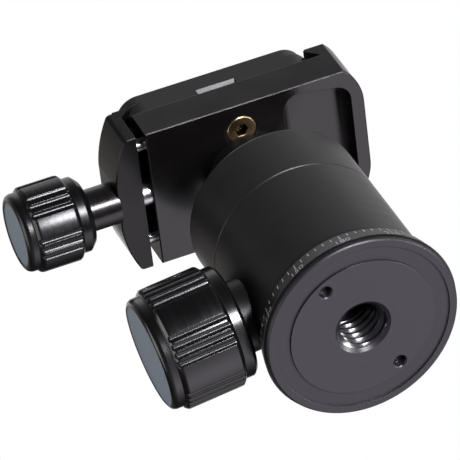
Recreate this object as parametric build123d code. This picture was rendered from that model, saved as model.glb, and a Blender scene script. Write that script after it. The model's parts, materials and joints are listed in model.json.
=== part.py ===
from build123d import *
import math
import os

# Ball head with a screw quick-release clamp and its plate.
# Millimetres, +Z up. The origin is on the pan axis, in the plane of the bottom disc's face.
# The knobs point to -X, the clamp's two open ends face -Y and +Y, and the drop notch faces +Y.

# Fits and gaps
RUNNING = 0.05          # radial clearance of a shaft in its hole
SEAT_GAP = 0.05         # flat faces that slide on each other
BODY_GAP = 0.3          # between turned faces that only pass each other
BALL_GAP = 0.06         # between the ball and what it bears on

# Bottom disc and tripod socket
PLATE_R = 18.35
PLATE_RIM_H = 1.05
PLATE_BODY_R = 15.4
PLATE_TOP = 4.2
TROUGH_R = 16.84
TROUGH_DEPTH = 0.35
SOCKET_DISC_R = 13.9
SOCKET_DISC_H = 2.2
HUB_R = 9.1
HUB_TOP = 10.2
THREAD_R = 4.7625       # 3/8 inch tripod thread, major radius
THREAD_DEPTH = 9.2
THREAD_CHAMFER = 0.67   # how much wider the thread's mouth is
THREAD_CHAMFER_DEPTH = 0.5
SPANNER_HOLE_R = 1.15
SPANNER_HOLE_PITCH_R = 11.9
SPANNER_HOLE_DEPTH = 1.6
SPANNER_HOLE_CHAMFER = 0.22
SPANNER_ANGLE = 58.3
RIM_CHAMFER = 0.25

# Pan bearing
WASHER_T = 0.5
FLOOR_T = 4.65
UPPER_WASHER_OUT_R = 12.0
RETAINER_R = 11.0
RETAINER_T = 1.1
RETAINER_SCREWS = 3
RETAINER_SCREW_PITCH_R = 7.0
RETAINER_SCREW_R = 1.1
RETAINER_SCREW_HEAD_R = 1.9
RETAINER_SCREW_L = 5.0

# Housing and collar
BODY_R = 16.87
BODY_BORE_R = 14.2
SKIRT_R = 18.7
SKIRT_BAND_TOP_R = 18.05
SKIRT_BOTTOM = 1.3
SKIRT_BAND_TOP = 4.2
SKIRT_TOP = 6.4
SEAM_Z = 28.66
SEAM_BEVEL = 0.18
COLLAR_TOP = 41.34
COLLAR_BORE_R = 14.75
COLLAR_ROUND = 0.7
SPIGOT_R = 15.6
SPIGOT_L = 2.2
MOUTH_R = 13.0
MOUTH_CHAMFER = 0.9

# Ball, seats and stem
BALL_R = 13.0
BALL_Z = 35.1
SEAT_LOW = 1.0
SEAT_HIGH = 4.4
LINER_T = 0.8
LINER_ANGLE = 50.0
NECK_R = 4.5
NECK_FLARE_H = 1.2
FLANGE_R = 7.5
FLANGE_T = 2.3
STEM_SPIGOT_R = 3.5
STEM_SPIGOT_L = 1.5
NOTCH_R = 5.0
NOTCH_BEVEL_START = 14.5

# Lock: knob, stud, wedge pin, lift cup. Stations run outwards from the pan axis.
LOCK_Z = 16.28
LOCK_YAW = -6.2         # the lock knob's turn about the pan axis, away from -X
WEDGE_ANGLE = 30.0
WEDGE_PIN_R = 3.2
WEDGE_TIP = -2.0
WEDGE_HEEL = 4.0
WEDGE_END = 13.5
BOSS_R = 6.9
BOSS_END = 18.25
BOSS_SPIGOT_R = 4.6
BOSS_SPIGOT_START = 7.5
BOSS_THREAD_START = 14.1
LOCK_WASHER_R = 5.8
LOCK_WASHER_T = 0.5
LOCK_WASHER_PROUD = 0.03
STUD_R = 3.0
STUD_COVER = 4.0        # from the stud's end to the knob's outer end
CUP_R = 14.1
CUP_BOTTOM = 20.0
CUP_TOP = 26.5
CUP_GAP = 0.24
CUP_BLOCK_W = 5.0
CUP_BLOCK_TIP = -3.0
LOCK_KNOB_START = 18.65
LOCK_KNOB_COLLAR_L = 2.5
LOCK_KNOB_GRIP_END = 33.1
LOCK_KNOB_END = 35.5
LOCK_KNOB_R = 11.6
LOCK_COLLAR_R = 10.65
LOCK_RIM_R = 10.7
LOCK_INSERT_R = 9.6
LOCK_GROOVE_COUNT = 4
LOCK_GROOVE_STEP_ANGLE = 8.15
LOCK_GROOVE_ANGLE = -33.1

# Clamp base. Everything from the stem's flange upwards is set from the height of its underside.
CLAMP_BOTTOM = 54.8
VEE_TIP_CLEAR = 0.95    # from the plate's flange to the tip of either jaw's V groove
VEE_TIP_RISE = 0.4
VEE_DEPTH = 2.3
JAW_GAP = 1.87          # between the clamp base and the closed moving jaw
FIXED_JAW_T = 5.2
CLAMP_SHOULDER = 3.4
CLAMP_BOW = 1.0
CLAMP_HALF_L = 14.8
CLAMP_BOW_Y = 11.4
CLAMP_CHEEK_Y = 6.5
CLAMP_FLOOR_T = 7.0
CLAMP_FOOT_CHAMFER = 0.2
JAW_H = 10.2
POCKET_LEFT = 8.6
POCKET_WALL = 2.55
POCKET_LEFT_Y = 13.9
POCKET_RIGHT_Y = 11.1
POCKET_DEPTH = 3.5
POCKET_CORNER_R = 3.4
POCKET_COVE = 2.6

# Clamp bolt
BOLT_R = 2.5
BOLT_HEAD_R = 4.0
BOLT_HEAD_H = 2.3
BOLT_HEAD_SINK = 0.5     # the head's top under the clamp's floor
BOLT_REACH = 9.3        # the bolt's end under the clamp's underside
BOLT_HEX = 3.0
BOLT_HEX_DEPTH = 1.6

# Moving jaw, its screw, pins and knob
JAW_NOSE = 1.9
MOVING_JAW_H = 9.7
MOVING_JAW_T = 5.0
JAW_BOW_Y = 5.0
JAW_BEND = 0.8
JAW_BEND_Y = 9.6
JAW_CORNER = 2.8
JAW_CORNER_R = 1.0
JAW_ROUND = 0.35
JAW_FOOT_CHAMFER = 0.2
SCREW_RISE = 3.04
SCREW_R = 2.5
SCREW_END = -8.6
SCREW_BORE_END = -7.4
PIN_R = 1.25
PIN_Y = 10.5
PIN_RISE = 3.5
PIN_SEAT = 3.0          # how deep a guide pin is pressed into the moving jaw
PIN_END = -11.5
PIN_BORE_END = -8.0
SLEEVE_R = 4.03
SLEEVE_SEAT = 0.35
SLEEVE_L = 5.8
CLAMP_KNOB_L = 13.7
CLAMP_KNOB_COLLAR_L = 2.8
CLAMP_KNOB_GRIP_L = 11.55
CLAMP_KNOB_R = 8.2
CLAMP_COLLAR_R = 7.2
CLAMP_COLLAR_CHAMFER = 1.1
CLAMP_RIM_R = 7.5
CLAMP_INSERT_R = 6.0
CLAMP_GROOVE_COUNT = 3
CLAMP_GROOVE_STEP_ANGLE = 12.0
CLAMP_GROOVE_ANGLE = -3.4
SCREW_COVER = 3.0       # from the clamp screw's end to the knob's outer end
INSERT_T = 0.8
KNOB_EDGE = 0.6
GROOVE_GROUPS = 6
GROOVE_R = 0.65
GROOVE_OUT = 0.25        # the groove's centre above the grip's surface

# Safety pin in the clamp floor
SAFETY_X = 0.1
SAFETY_Y = -9.0
SAFETY_R = 1.6
SAFETY_HEAD_R = 2.6
SAFETY_HEAD_H = 0.8
SAFETY_RISE = 1.1
SAFETY_SINK = 1.2       # the pin's shoulder under the clamp's floor
PLUG_R = 3.05
PLUG_H = 2.5
PLUG_SINK = 0.08
PLUG_CHAMFER = 0.35
PLUG_RIM_R = 3.4
PLUG_HEX = 2.4
PLUG_HEX_DEPTH = 2.1
SPRING_WIRE_R = 0.25
SPRING_R = 1.9
SPRING_TURNS = 2

# Quick-release plate
DOVETAIL_X = -0.5
PLATE_X = -1.15
QR_FLANGE_W = 37.9
QR_TOP_INSET = 0.35     # how far the plate's top stays inside its flange, each side
QR_H = 5.9
QR_TOP_EDGE = 0.2
QR_HALF_L = 14.55
QR_CORNER_R = 4.3
QR_LEDGE_H = 3.45
QR_EDGE = 0.5
JAW_CLEAR = 0.06
CHANNEL_W = 7.7
CHANNEL_H = 1.75
RAMP_L = 2.2
PIN_POCKET_Y = 11.3
HEAD_POCKET_W = 11.6
HEAD_POCKET_DEPTH = 3.95
SCREW_SLIDE = 4.0
CAMERA_SCREW_R = 3.175  # 1/4 inch camera thread, major radius
CAMERA_HEAD_R = 5.4
CAMERA_HEAD_H = 1.8
CAMERA_HEAD_RISE = 1.35
CAMERA_SCREW_PROUD = 5.05
CAMERA_NECK_R = 2.6
CAMERA_THREAD_GAP = 0.15   # from the rubber pads to the camera screw's thread
KEEPER_R = 5.0
KEEPER_T = 0.6
PAD_DEPTH = 0.8
PAD_PROUD = 0.3
PAD_W = 12.0
PAD_HALF_L = 13.0

# Worked out from the sizes above
FLOOR_BOTTOM = PLATE_TOP + WASHER_T + SEAT_GAP
FLOOR_TOP = FLOOR_BOTTOM + FLOOR_T
LINER_IN_R = BALL_R + BALL_GAP
LINER_OUT_R = LINER_IN_R + LINER_T
CUP_SPHERE_R = LINER_OUT_R + CUP_GAP
SEAT_SHOULDER = BALL_Z + SEAT_HIGH + 0.1
FLANGE_BOTTOM = CLAMP_BOTTOM - FLANGE_T
NECK_TOP = FLANGE_BOTTOM - NECK_FLARE_H
CLAMP_FLOOR = CLAMP_BOTTOM + CLAMP_FLOOR_T
JAW_TOP = CLAMP_BOTTOM + JAW_H
MOVING_JAW_TOP = CLAMP_BOTTOM + MOVING_JAW_H
SCREW_Z = CLAMP_BOTTOM + SCREW_RISE
PIN_Z = CLAMP_BOTTOM + PIN_RISE
BOLT_HEAD_TOP = CLAMP_FLOOR - BOLT_HEAD_SINK
BOLT_END = CLAMP_BOTTOM - BOLT_REACH
SAFETY_SHOULDER = CLAMP_FLOOR - SAFETY_SINK
PLATE_BOTTOM = CLAMP_FLOOR + SEAT_GAP
QR_LEDGE = PLATE_BOTTOM + QR_LEDGE_H
QR_TOP = PLATE_BOTTOM + QR_H
QR_TOP_W = QR_FLANGE_W - 2 * QR_TOP_INSET
CAMERA_HEAD_BOTTOM = PLATE_BOTTOM + CAMERA_HEAD_RISE
CAMERA_SCREW_TOP = QR_TOP + CAMERA_SCREW_PROUD
QR_FLANGE_X = QR_FLANGE_W / 2
VEE_TIP_X = DOVETAIL_X + QR_FLANGE_X + VEE_TIP_CLEAR
VEE_SUM = VEE_TIP_X + CLAMP_FLOOR + VEE_TIP_RISE
CLAMP_RIGHT = VEE_TIP_X + FIXED_JAW_T
CLAMP_SHOULDER_X = CLAMP_RIGHT - CLAMP_SHOULDER
CLAMP_BOW_X = CLAMP_RIGHT - CLAMP_BOW
POCKET_RIGHT = CLAMP_RIGHT - POCKET_WALL
JAW_INNER_X = DOVETAIL_X - QR_FLANGE_X - VEE_TIP_CLEAR
JAW_NOSE_X = JAW_INNER_X + JAW_NOSE
JAW_BOW_X = JAW_INNER_X - MOVING_JAW_T
JAW_BEND_X = JAW_BOW_X + JAW_BEND
JAW_CORNER_X = JAW_BOW_X + JAW_CORNER
CLAMP_LEFT = JAW_INNER_X + JAW_GAP
PIN_START = JAW_INNER_X - PIN_SEAT
SLEEVE_END = JAW_BOW_X - SLEEVE_L
CLAMP_KNOB_GRIP_END = SLEEVE_END - CLAMP_KNOB_GRIP_L
CLAMP_KNOB_END = SLEEVE_END - CLAMP_KNOB_L
TALL = 200.0


def xz(points):
    """Points (radius, height) in the XZ plane."""
    return [(r, 0, z) for r, z in points]


def ring_of(points):
    """Revolve a closed polygon of (radius, height) points about Z."""
    return revolve(make_face(Polyline(*xz(points), close=True)), Axis.Z)


def rod(radius, low, high, at=(0, 0)):
    """A cylinder along Z from low to high."""
    return Pos(at[0], at[1], low) * Cylinder(radius, high - low, align=(Align.CENTER, Align.CENTER, Align.MIN))


def rod_x(radius, left, right, y, z):
    """A cylinder along X from left to right."""
    blank = Cylinder(radius, right - left, align=(Align.CENTER, Align.CENTER, Align.MIN))
    return Pos(left, y, z) * Rot(0, 90, 0) * blank


def block(x0, x1, y0, y1, z0, z1):
    """A box given by its limits."""
    return Pos(x0, y0, z0) * Box(x1 - x0, y1 - y0, z1 - z0, align=(Align.MIN, Align.MIN, Align.MIN))


def hex_hole(across, low, high, at=(0, 0)):
    """A hexagon prism along Z."""
    sketch = RegularPolygon(across / 2, 6, major_radius=False)
    return Pos(at[0], at[1], low) * extrude(sketch, high - low)


def outwards(shape):
    """Turn a shape built along +Z so that it points along the lock axis, away from the pan axis."""
    return Pos(0, 0, LOCK_Z) * Rot(0, 0, LOCK_YAW) * Rot(0, -90, 0) * shape


def to_knob_side(shape):
    """Turn a shape built along +Z so that it points to -X along the clamp screw's axis."""
    return Pos(0, 0, SCREW_Z) * Rot(0, -90, 0) * shape


def ball_zone(radius, low, high):
    """The part of a sphere about the ball's centre between two heights above that centre."""
    sphere = Pos(0, 0, BALL_Z) * Sphere(radius)
    return sphere & rod(radius * 2, BALL_Z + low, BALL_Z + high)


def notch_cutter(half_width):
    """A slot with a round bottom through the +Y wall, open at the top."""
    slot = block(-half_width, half_width, 0, TALL, BALL_Z, TALL)
    bottom = Pos(0, 0, BALL_Z) * Rot(-90, 0, 0) * Cylinder(
        half_width, TALL, align=(Align.CENTER, Align.CENTER, Align.MIN)
    )
    return slot + bottom


def notch_bevel():
    """The flare at the outer edge of the notch, which lets the stem's flange in."""
    depth = 3.0
    start, end = NOTCH_BEVEL_START, NOTCH_BEVEL_START + depth
    wide = NOTCH_R + depth
    flare = Polyline((-NOTCH_R, start), (-wide, end), (wide, end), (NOTCH_R, start), close=True)
    sides = Pos(0, 0, BALL_Z) * extrude(make_face(flare), TALL)
    bottom = Pos(0, start, BALL_Z) * Rot(-90, 0, 0) * Cone(
        NOTCH_R, wide, depth, align=(Align.CENTER, Align.CENTER, Align.MIN)
    )
    return sides + bottom


def make_base_plate():
    plate = ring_of([
        (SOCKET_DISC_R, 0),
        (PLATE_R - RIM_CHAMFER, 0),
        (PLATE_R, RIM_CHAMFER),
        (PLATE_R, PLATE_RIM_H),
        (PLATE_BODY_R, PLATE_RIM_H),
        (PLATE_BODY_R, PLATE_TOP),
        (HUB_R, PLATE_TOP),
        (HUB_R, SOCKET_DISC_H),
        (SOCKET_DISC_R, SOCKET_DISC_H),
    ])
    trough = ring_of([
        (SOCKET_DISC_R - 1, -1),
        (TROUGH_R, -1),
        (TROUGH_R, TROUGH_DEPTH),
        (SOCKET_DISC_R - 1, TROUGH_DEPTH),
    ])
    return plate - trough


def mouth(radius, wider, depth):
    """The cutter for a countersunk mouth in the bottom face."""
    rim = radius + wider
    return ring_of([(0, -1), (rim, -1), (rim, 0), (radius, depth), (0, depth)])


def make_tripod_socket():
    disc = rod(SOCKET_DISC_R, 0, SOCKET_DISC_H) + rod(HUB_R, SOCKET_DISC_H, HUB_TOP)
    disc -= rod(THREAD_R, -1, THREAD_DEPTH)
    disc -= mouth(THREAD_R, THREAD_CHAMFER, THREAD_CHAMFER_DEPTH)
    hole = rod(SPANNER_HOLE_R, -1, SPANNER_HOLE_DEPTH)
    hole += mouth(SPANNER_HOLE_R, SPANNER_HOLE_CHAMFER, SPANNER_HOLE_CHAMFER)
    for turn in (0, 180):
        disc -= Rot(0, 0, SPANNER_ANGLE + turn) * Pos(SPANNER_HOLE_PITCH_R, 0, 0) * hole
    for i in range(RETAINER_SCREWS):
        hole = rod(RETAINER_SCREW_R, HUB_TOP + RETAINER_T - RETAINER_SCREW_L, HUB_TOP + 1, (RETAINER_SCREW_PITCH_R, 0))
        disc -= Rot(0, 0, i * 360 / RETAINER_SCREWS) * hole
    return disc


def make_pan_washer_lower():
    return ring_of([
        (HUB_R + BODY_GAP, PLATE_TOP),
        (PLATE_BODY_R - 0.6, PLATE_TOP),
        (PLATE_BODY_R - 0.6, PLATE_TOP + WASHER_T),
        (HUB_R + BODY_GAP, PLATE_TOP + WASHER_T),
    ])


def make_pan_washer_upper():
    return ring_of([
        (HUB_R, FLOOR_TOP + SEAT_GAP),
        (UPPER_WASHER_OUT_R, FLOOR_TOP + SEAT_GAP),
        (UPPER_WASHER_OUT_R, HUB_TOP),
        (HUB_R, HUB_TOP),
    ])


def retainer_screw(i):
    top = HUB_TOP + RETAINER_T
    shank = rod(RETAINER_SCREW_R, top - RETAINER_SCREW_L, top)
    cone = RETAINER_SCREW_HEAD_R - RETAINER_SCREW_R
    head = ring_of([(0, top - cone), (RETAINER_SCREW_R, top - cone), (RETAINER_SCREW_HEAD_R, top), (0, top)])
    drive = hex_hole(1.3, top - 0.7, top + 1)
    screw = shank + head - drive
    return Rot(0, 0, i * 360 / RETAINER_SCREWS) * Pos(RETAINER_SCREW_PITCH_R, 0, 0) * screw


def make_pan_retainer():
    top = HUB_TOP + RETAINER_T
    disc = rod(RETAINER_R, HUB_TOP, top)
    cone = RETAINER_SCREW_HEAD_R - RETAINER_SCREW_R
    for i in range(RETAINER_SCREWS):
        sink = rod(RETAINER_SCREW_R, HUB_TOP - 1, top + 1)
        sink += ring_of([(0, top - cone), (RETAINER_SCREW_R, top - cone), (RETAINER_SCREW_HEAD_R, top), (0, top)])
        disc -= Rot(0, 0, i * 360 / RETAINER_SCREWS) * Pos(RETAINER_SCREW_PITCH_R, 0, 0) * sink
    return disc


def make_pan_retainer_screws():
    return Compound([retainer_screw(i) for i in range(RETAINER_SCREWS)])


def make_main_housing():
    skirt = ThreePointArc(
        (SKIRT_BAND_TOP_R, 0, SKIRT_BAND_TOP),
        (BODY_R + 0.28 * (SKIRT_BAND_TOP_R - BODY_R), 0, SKIRT_BAND_TOP + 0.32 * (SKIRT_TOP - SKIRT_BAND_TOP)),
        (BODY_R, 0, SKIRT_TOP),
    )
    outline = Polyline(*xz([
        (BODY_R, SKIRT_TOP),
        (BODY_R, SEAM_Z - SEAM_BEVEL),
        (BODY_R - SEAM_BEVEL, SEAM_Z),
        (SPIGOT_R, SEAM_Z),
        (SPIGOT_R, SEAM_Z - SPIGOT_L),
        (BODY_BORE_R, SEAM_Z - SPIGOT_L),
        (BODY_BORE_R, FLOOR_TOP),
        (HUB_R + RUNNING, FLOOR_TOP),
        (HUB_R + RUNNING, FLOOR_BOTTOM),
        (PLATE_BODY_R + BODY_GAP, FLOOR_BOTTOM),
        (PLATE_BODY_R + BODY_GAP, SKIRT_BOTTOM),
        (SKIRT_R, SKIRT_BOTTOM),
        (SKIRT_BAND_TOP_R, SKIRT_BAND_TOP),
    ]))
    housing = revolve(make_face([*skirt.edges(), *outline.edges()]), Axis.Z)
    boss_seat = rod(BOSS_R, BOSS_THREAD_START, TALL) - outwards_back(rod(BODY_R, 0, SEAM_Z))
    housing -= outwards(rod(BOSS_SPIGOT_R, 0, TALL))
    return housing - outwards(boss_seat)


def outwards_back(shape):
    """Bring a shape from the model's frame into the frame in which lock pieces are built."""
    return Rot(0, 90, 0) * Rot(0, 0, -LOCK_YAW) * Pos(0, 0, -LOCK_Z) * shape


def make_top_collar():
    edge_z = COLLAR_TOP - MOUTH_CHAMFER
    lip_r = math.sqrt((BALL_R + BODY_GAP) ** 2 - (edge_z - BALL_Z) ** 2)
    shoulder_r = math.sqrt((BALL_R + BODY_GAP) ** 2 - (SEAT_SHOULDER - BALL_Z) ** 2)
    mid_z = (edge_z + SEAT_SHOULDER) / 2
    mid_r = math.sqrt((BALL_R + BODY_GAP) ** 2 - (mid_z - BALL_Z) ** 2)
    lip = ThreePointArc((lip_r, 0, edge_z), (mid_r, 0, mid_z), (shoulder_r, 0, SEAT_SHOULDER))
    outline = Polyline(*xz([
        (shoulder_r, SEAT_SHOULDER),
        (COLLAR_BORE_R, SEAT_SHOULDER),
        (COLLAR_BORE_R, SEAM_Z - SPIGOT_L + SEAT_GAP),
        (SPIGOT_R, SEAM_Z - SPIGOT_L + SEAT_GAP),
        (SPIGOT_R, SEAM_Z),
        (BODY_R - SEAM_BEVEL, SEAM_Z),
        (BODY_R, SEAM_Z + SEAM_BEVEL),
        (BODY_R, COLLAR_TOP - COLLAR_ROUND),
    ]))
    rounded = ThreePointArc(
        (BODY_R, 0, COLLAR_TOP - COLLAR_ROUND),
        (BODY_R - COLLAR_ROUND * 0.29, 0, COLLAR_TOP - COLLAR_ROUND * 0.29),
        (BODY_R - COLLAR_ROUND, 0, COLLAR_TOP),
    )
    top = Polyline(*xz([(BODY_R - COLLAR_ROUND, COLLAR_TOP), (MOUTH_R, COLLAR_TOP), (lip_r, edge_z)]))
    face = make_face([*lip.edges(), *outline.edges(), *rounded.edges(), *top.edges()])
    return revolve(face, Axis.Z) - notch_cutter(NOTCH_R) - notch_bevel()


def make_upper_ball_seat():
    ring = rod(COLLAR_BORE_R, BALL_Z + SEAT_LOW, BALL_Z + SEAT_HIGH) - Pos(0, 0, BALL_Z) * Sphere(LINER_IN_R)
    return ring - notch_cutter(NOTCH_R)


def make_ball_liner():
    low = -LINER_OUT_R
    high = -LINER_OUT_R * math.cos(math.radians(LINER_ANGLE))
    return ball_zone(LINER_OUT_R, low - 1, high) - Pos(0, 0, BALL_Z) * Sphere(LINER_IN_R)


def make_ball_and_stem():
    ball = Pos(0, 0, BALL_Z) * Sphere(BALL_R)
    stem_top = CLAMP_BOTTOM - SEAT_GAP
    stem = ring_of([
        (0, BALL_Z),
        (NECK_R, BALL_Z),
        (NECK_R, NECK_TOP),
        (FLANGE_R, FLANGE_BOTTOM),
        (FLANGE_R, stem_top),
        (STEM_SPIGOT_R, stem_top),
        (STEM_SPIGOT_R, stem_top + STEM_SPIGOT_L),
        (0, stem_top + STEM_SPIGOT_L),
    ])
    bore = rod(BOLT_R + RUNNING, BOLT_END - 1, TALL)
    return ball + stem - bore


def slope_body(above, lift):
    """A large wedge on one side of the slope: above it, or below it."""
    rise = math.tan(math.radians(WEDGE_ANGLE))
    far = 30.0
    s0, s1 = WEDGE_HEEL - far, WEDGE_HEEL + far
    h0 = WEDGE_PIN_R + lift - far * rise
    h1 = WEDGE_PIN_R + lift + far * rise
    edge_h = 2 * far if above else -2 * far
    points = [(h0, -far, s0), (h1, -far, s1), (edge_h, -far, s1), (edge_h, -far, s0)]
    return extrude(make_face(Polyline(*points, close=True)), amount=2 * far, dir=(0, 1, 0))


def make_wedge_pin():
    pin = rod(WEDGE_PIN_R, WEDGE_TIP, WEDGE_END)
    return outwards(pin - slope_body(True, 0))


def make_lift_cup():
    cup = rod(CUP_R, CUP_BOTTOM, CUP_TOP) - Pos(0, 0, BALL_Z) * Sphere(CUP_SPHERE_R)
    channel_h = BOSS_SPIGOT_R + 2 * BODY_GAP
    channel = block(0, channel_h, -channel_h, channel_h, BOSS_SPIGOT_START - 2 * BODY_GAP, CUP_R + 1)
    cup -= outwards(channel)
    half = CUP_BLOCK_W / 2
    ramp = block(-0.5, CUP_BOTTOM - LOCK_Z + 0.5, -half, half, CUP_BLOCK_TIP, WEDGE_HEEL)
    ramp -= slope_body(False, SEAT_GAP)
    return cup + outwards(ramp)


def make_lock_boss():
    boss = rod(BOSS_R, BOSS_THREAD_START, BOSS_END) - outwards_back(rod(BODY_R, 0, SEAM_Z))
    boss += rod(BOSS_SPIGOT_R, BOSS_SPIGOT_START, BOSS_END)
    boss -= rod(WEDGE_PIN_R + RUNNING, 0, BOSS_THREAD_START)
    boss -= rod(STUD_R + RUNNING, 0, BOSS_END + 1)
    boss -= rod(LOCK_WASHER_R, BOSS_END + LOCK_WASHER_PROUD - LOCK_WASHER_T, BOSS_END + 1)
    return outwards(boss)


def knob_blank(start, collar_l, grip_end, end, collar_r, collar_chamfer, grip_r, rim_r, insert_r):
    """A knob along +Z: collar, grip, rounded end rim, and a recess for the insert."""
    edge = KNOB_EDGE
    return ring_of([
        (0, start),
        (collar_r - collar_chamfer, start),
        (collar_r, start + collar_chamfer),
        (collar_r, start + collar_l),
        (grip_r - edge, start + collar_l + 0.1),
        (grip_r, start + collar_l + edge),
        (grip_r, grip_end - edge),
        (grip_r - edge, grip_end),
        (rim_r, grip_end + 0.1),
        (rim_r, end - edge * 1.6),
        (rim_r - edge * 0.5, end - edge * 0.5),
        (rim_r - edge * 1.5, end),
        (insert_r, end),
        (insert_r, end - INSERT_T),
        (0, end - INSERT_T),
    ])


def cut_grooves(blank, start, end, radius, per_group, step, phase):
    """Cut groups of grooves along the grip, with a smooth land between the groups."""
    cutters = []
    for group in range(GROOVE_GROUPS):
        for k in range(per_group):
            angle = phase + group * 360 / GROOVE_GROUPS + (k - (per_group - 1) / 2) * step
            groove = rod(GROOVE_R, start, end, (radius + GROOVE_OUT, 0))
            cutters.append(Rot(0, 0, angle) * groove)
    return blank - cutters


def make_lock_knob():
    knob = knob_blank(
        LOCK_KNOB_START, LOCK_KNOB_COLLAR_L, LOCK_KNOB_GRIP_END, LOCK_KNOB_END,
        LOCK_COLLAR_R, KNOB_EDGE, LOCK_KNOB_R, LOCK_RIM_R, LOCK_INSERT_R,
    )
    knob = cut_grooves(
        knob, LOCK_KNOB_START + LOCK_KNOB_COLLAR_L - 0.5, LOCK_KNOB_GRIP_END + 0.5, LOCK_KNOB_R,
        LOCK_GROOVE_COUNT, LOCK_GROOVE_STEP_ANGLE, LOCK_GROOVE_ANGLE,
    )
    return outwards(knob - rod(STUD_R, 0, LOCK_KNOB_END - STUD_COVER))


def make_lock_knob_insert():
    return outwards(rod(LOCK_INSERT_R, LOCK_KNOB_END - INSERT_T, LOCK_KNOB_END - 0.15))


def make_lock_stud():
    return outwards(rod(STUD_R, WEDGE_END + SEAT_GAP, LOCK_KNOB_END - STUD_COVER))


def make_lock_washer():
    top = BOSS_END + LOCK_WASHER_PROUD
    return outwards(rod(LOCK_WASHER_R, top - LOCK_WASHER_T, top) - rod(STUD_R + RUNNING, 0, TALL))


def clamp_outline():
    """The clamp's plan outline: square at the knob side, bowed at the fixed jaw."""
    x0, xs, xb, x1 = CLAMP_LEFT, CLAMP_SHOULDER_X, CLAMP_BOW_X, CLAMP_RIGHT
    y1, yb, yc = CLAMP_HALF_L, CLAMP_BOW_Y, CLAMP_CHEEK_Y
    edges = [
        Line((x0, -y1), (xs, -y1)),
        ThreePointArc((xs, -y1), (xb, -yb), (x1, -yc)),
        Line((x1, -yc), (x1, yc)),
        ThreePointArc((x1, yc), (xb, yb), (xs, y1)),
        Line((xs, y1), (x0, y1)),
        Line((x0, y1), (x0, -y1)),
    ]
    return make_face(edges)


def underside_pocket():
    """The lightening pocket under the fixed jaw, with coved edges at its ceiling."""
    plan = make_face(Polyline(
        (POCKET_LEFT, -POCKET_LEFT_Y),
        (POCKET_RIGHT, -POCKET_RIGHT_Y),
        (POCKET_RIGHT, POCKET_RIGHT_Y),
        (POCKET_LEFT, POCKET_LEFT_Y),
        close=True,
    ))
    plan = fillet(plan.vertices(), POCKET_CORNER_R)
    pocket = Pos(0, 0, CLAMP_BOTTOM) * extrude(plan, POCKET_DEPTH)
    return fillet(pocket.edges().group_by(Axis.Z)[-1], POCKET_COVE)


def make_clamp_base():
    blank = Pos(0, 0, CLAMP_BOTTOM) * extrude(clamp_outline(), JAW_TOP - CLAMP_BOTTOM)
    blank = chamfer(blank.edges().group_by(Axis.Z)[0], CLAMP_FOOT_CHAMFER)
    vee_top_x = VEE_TIP_X - VEE_DEPTH
    tip_z = CLAMP_FLOOR + VEE_TIP_RISE
    channel = make_face(Polyline(*xz([
        (CLAMP_LEFT - 1, CLAMP_FLOOR),
        (VEE_TIP_X, CLAMP_FLOOR),
        (VEE_TIP_X, tip_z),
        (vee_top_x, tip_z + VEE_DEPTH),
        (vee_top_x, JAW_TOP - 0.4),
        (vee_top_x + 0.4, JAW_TOP),
        (vee_top_x + 0.4, JAW_TOP + 1),
        (CLAMP_LEFT - 1, JAW_TOP + 1),
    ]), close=True))
    base = blank - extrude(channel, amount=CLAMP_HALF_L + 1, both=True)
    base -= underside_pocket()
    base -= rod(STEM_SPIGOT_R + RUNNING, CLAMP_BOTTOM - 1, CLAMP_BOTTOM + STEM_SPIGOT_L + RUNNING)
    base -= rod(BOLT_R + RUNNING, CLAMP_BOTTOM - 1, TALL)
    base -= rod(BOLT_HEAD_R + RUNNING, BOLT_HEAD_TOP - BOLT_HEAD_H, TALL)
    base -= rod_x(SCREW_R + RUNNING, CLAMP_LEFT - 1, SCREW_BORE_END, 0, SCREW_Z)
    for side in (-1, 1):
        base -= rod_x(PIN_R + RUNNING, CLAMP_LEFT - 1, PIN_BORE_END, side * PIN_Y, PIN_Z)
    at = (SAFETY_X, SAFETY_Y)
    base -= rod(PLUG_R, CLAMP_BOTTOM - 1, SAFETY_SHOULDER, at)
    base -= rod(PLUG_RIM_R, CLAMP_BOTTOM - 1, CLAMP_BOTTOM + PLUG_SINK, at)
    base -= rod(SAFETY_R + RUNNING, SAFETY_SHOULDER - 1, TALL, at)
    return base


def make_clamp_bolt():
    bolt = rod(BOLT_R, BOLT_END, BOLT_HEAD_TOP) + rod(BOLT_HEAD_R, BOLT_HEAD_TOP - BOLT_HEAD_H, BOLT_HEAD_TOP)
    return bolt - hex_hole(BOLT_HEX, BOLT_HEAD_TOP - BOLT_HEX_DEPTH, TALL)


def jaw_blank():
    """The moving jaw's block: flat inside, bowed outside, with a rounded outer top edge."""
    half = CLAMP_HALF_L
    plan = make_face([
        Line((JAW_INNER_X, -half), (JAW_INNER_X, half)),
        Line((JAW_INNER_X, half), (JAW_CORNER_X, half)),
        ThreePointArc((JAW_CORNER_X, half), (JAW_BEND_X, JAW_BEND_Y), (JAW_BOW_X, JAW_BOW_Y)),
        Line((JAW_BOW_X, JAW_BOW_Y), (JAW_BOW_X, -JAW_BOW_Y)),
        ThreePointArc((JAW_BOW_X, -JAW_BOW_Y), (JAW_BEND_X, -JAW_BEND_Y), (JAW_CORNER_X, -half)),
        Line((JAW_CORNER_X, -half), (JAW_INNER_X, -half)),
    ])
    corners = [v for v in plan.vertices() if abs(v.Y) > half - 0.01 and v.X < JAW_INNER_X - 0.01]
    plan = fillet(corners, JAW_CORNER_R)
    blank = Pos(0, 0, CLAMP_BOTTOM) * extrude(plan, MOVING_JAW_TOP - CLAMP_BOTTOM)
    outer = [e for e in blank.edges().group_by(Axis.Z)[-1] if e.center().X < JAW_CORNER_X]
    blank = chamfer(outer, JAW_ROUND)
    foot = [e for e in blank.edges().group_by(Axis.Z)[0] if e.center().X < JAW_INNER_X - 0.01]
    return chamfer(foot, JAW_FOOT_CHAMFER)


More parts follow.
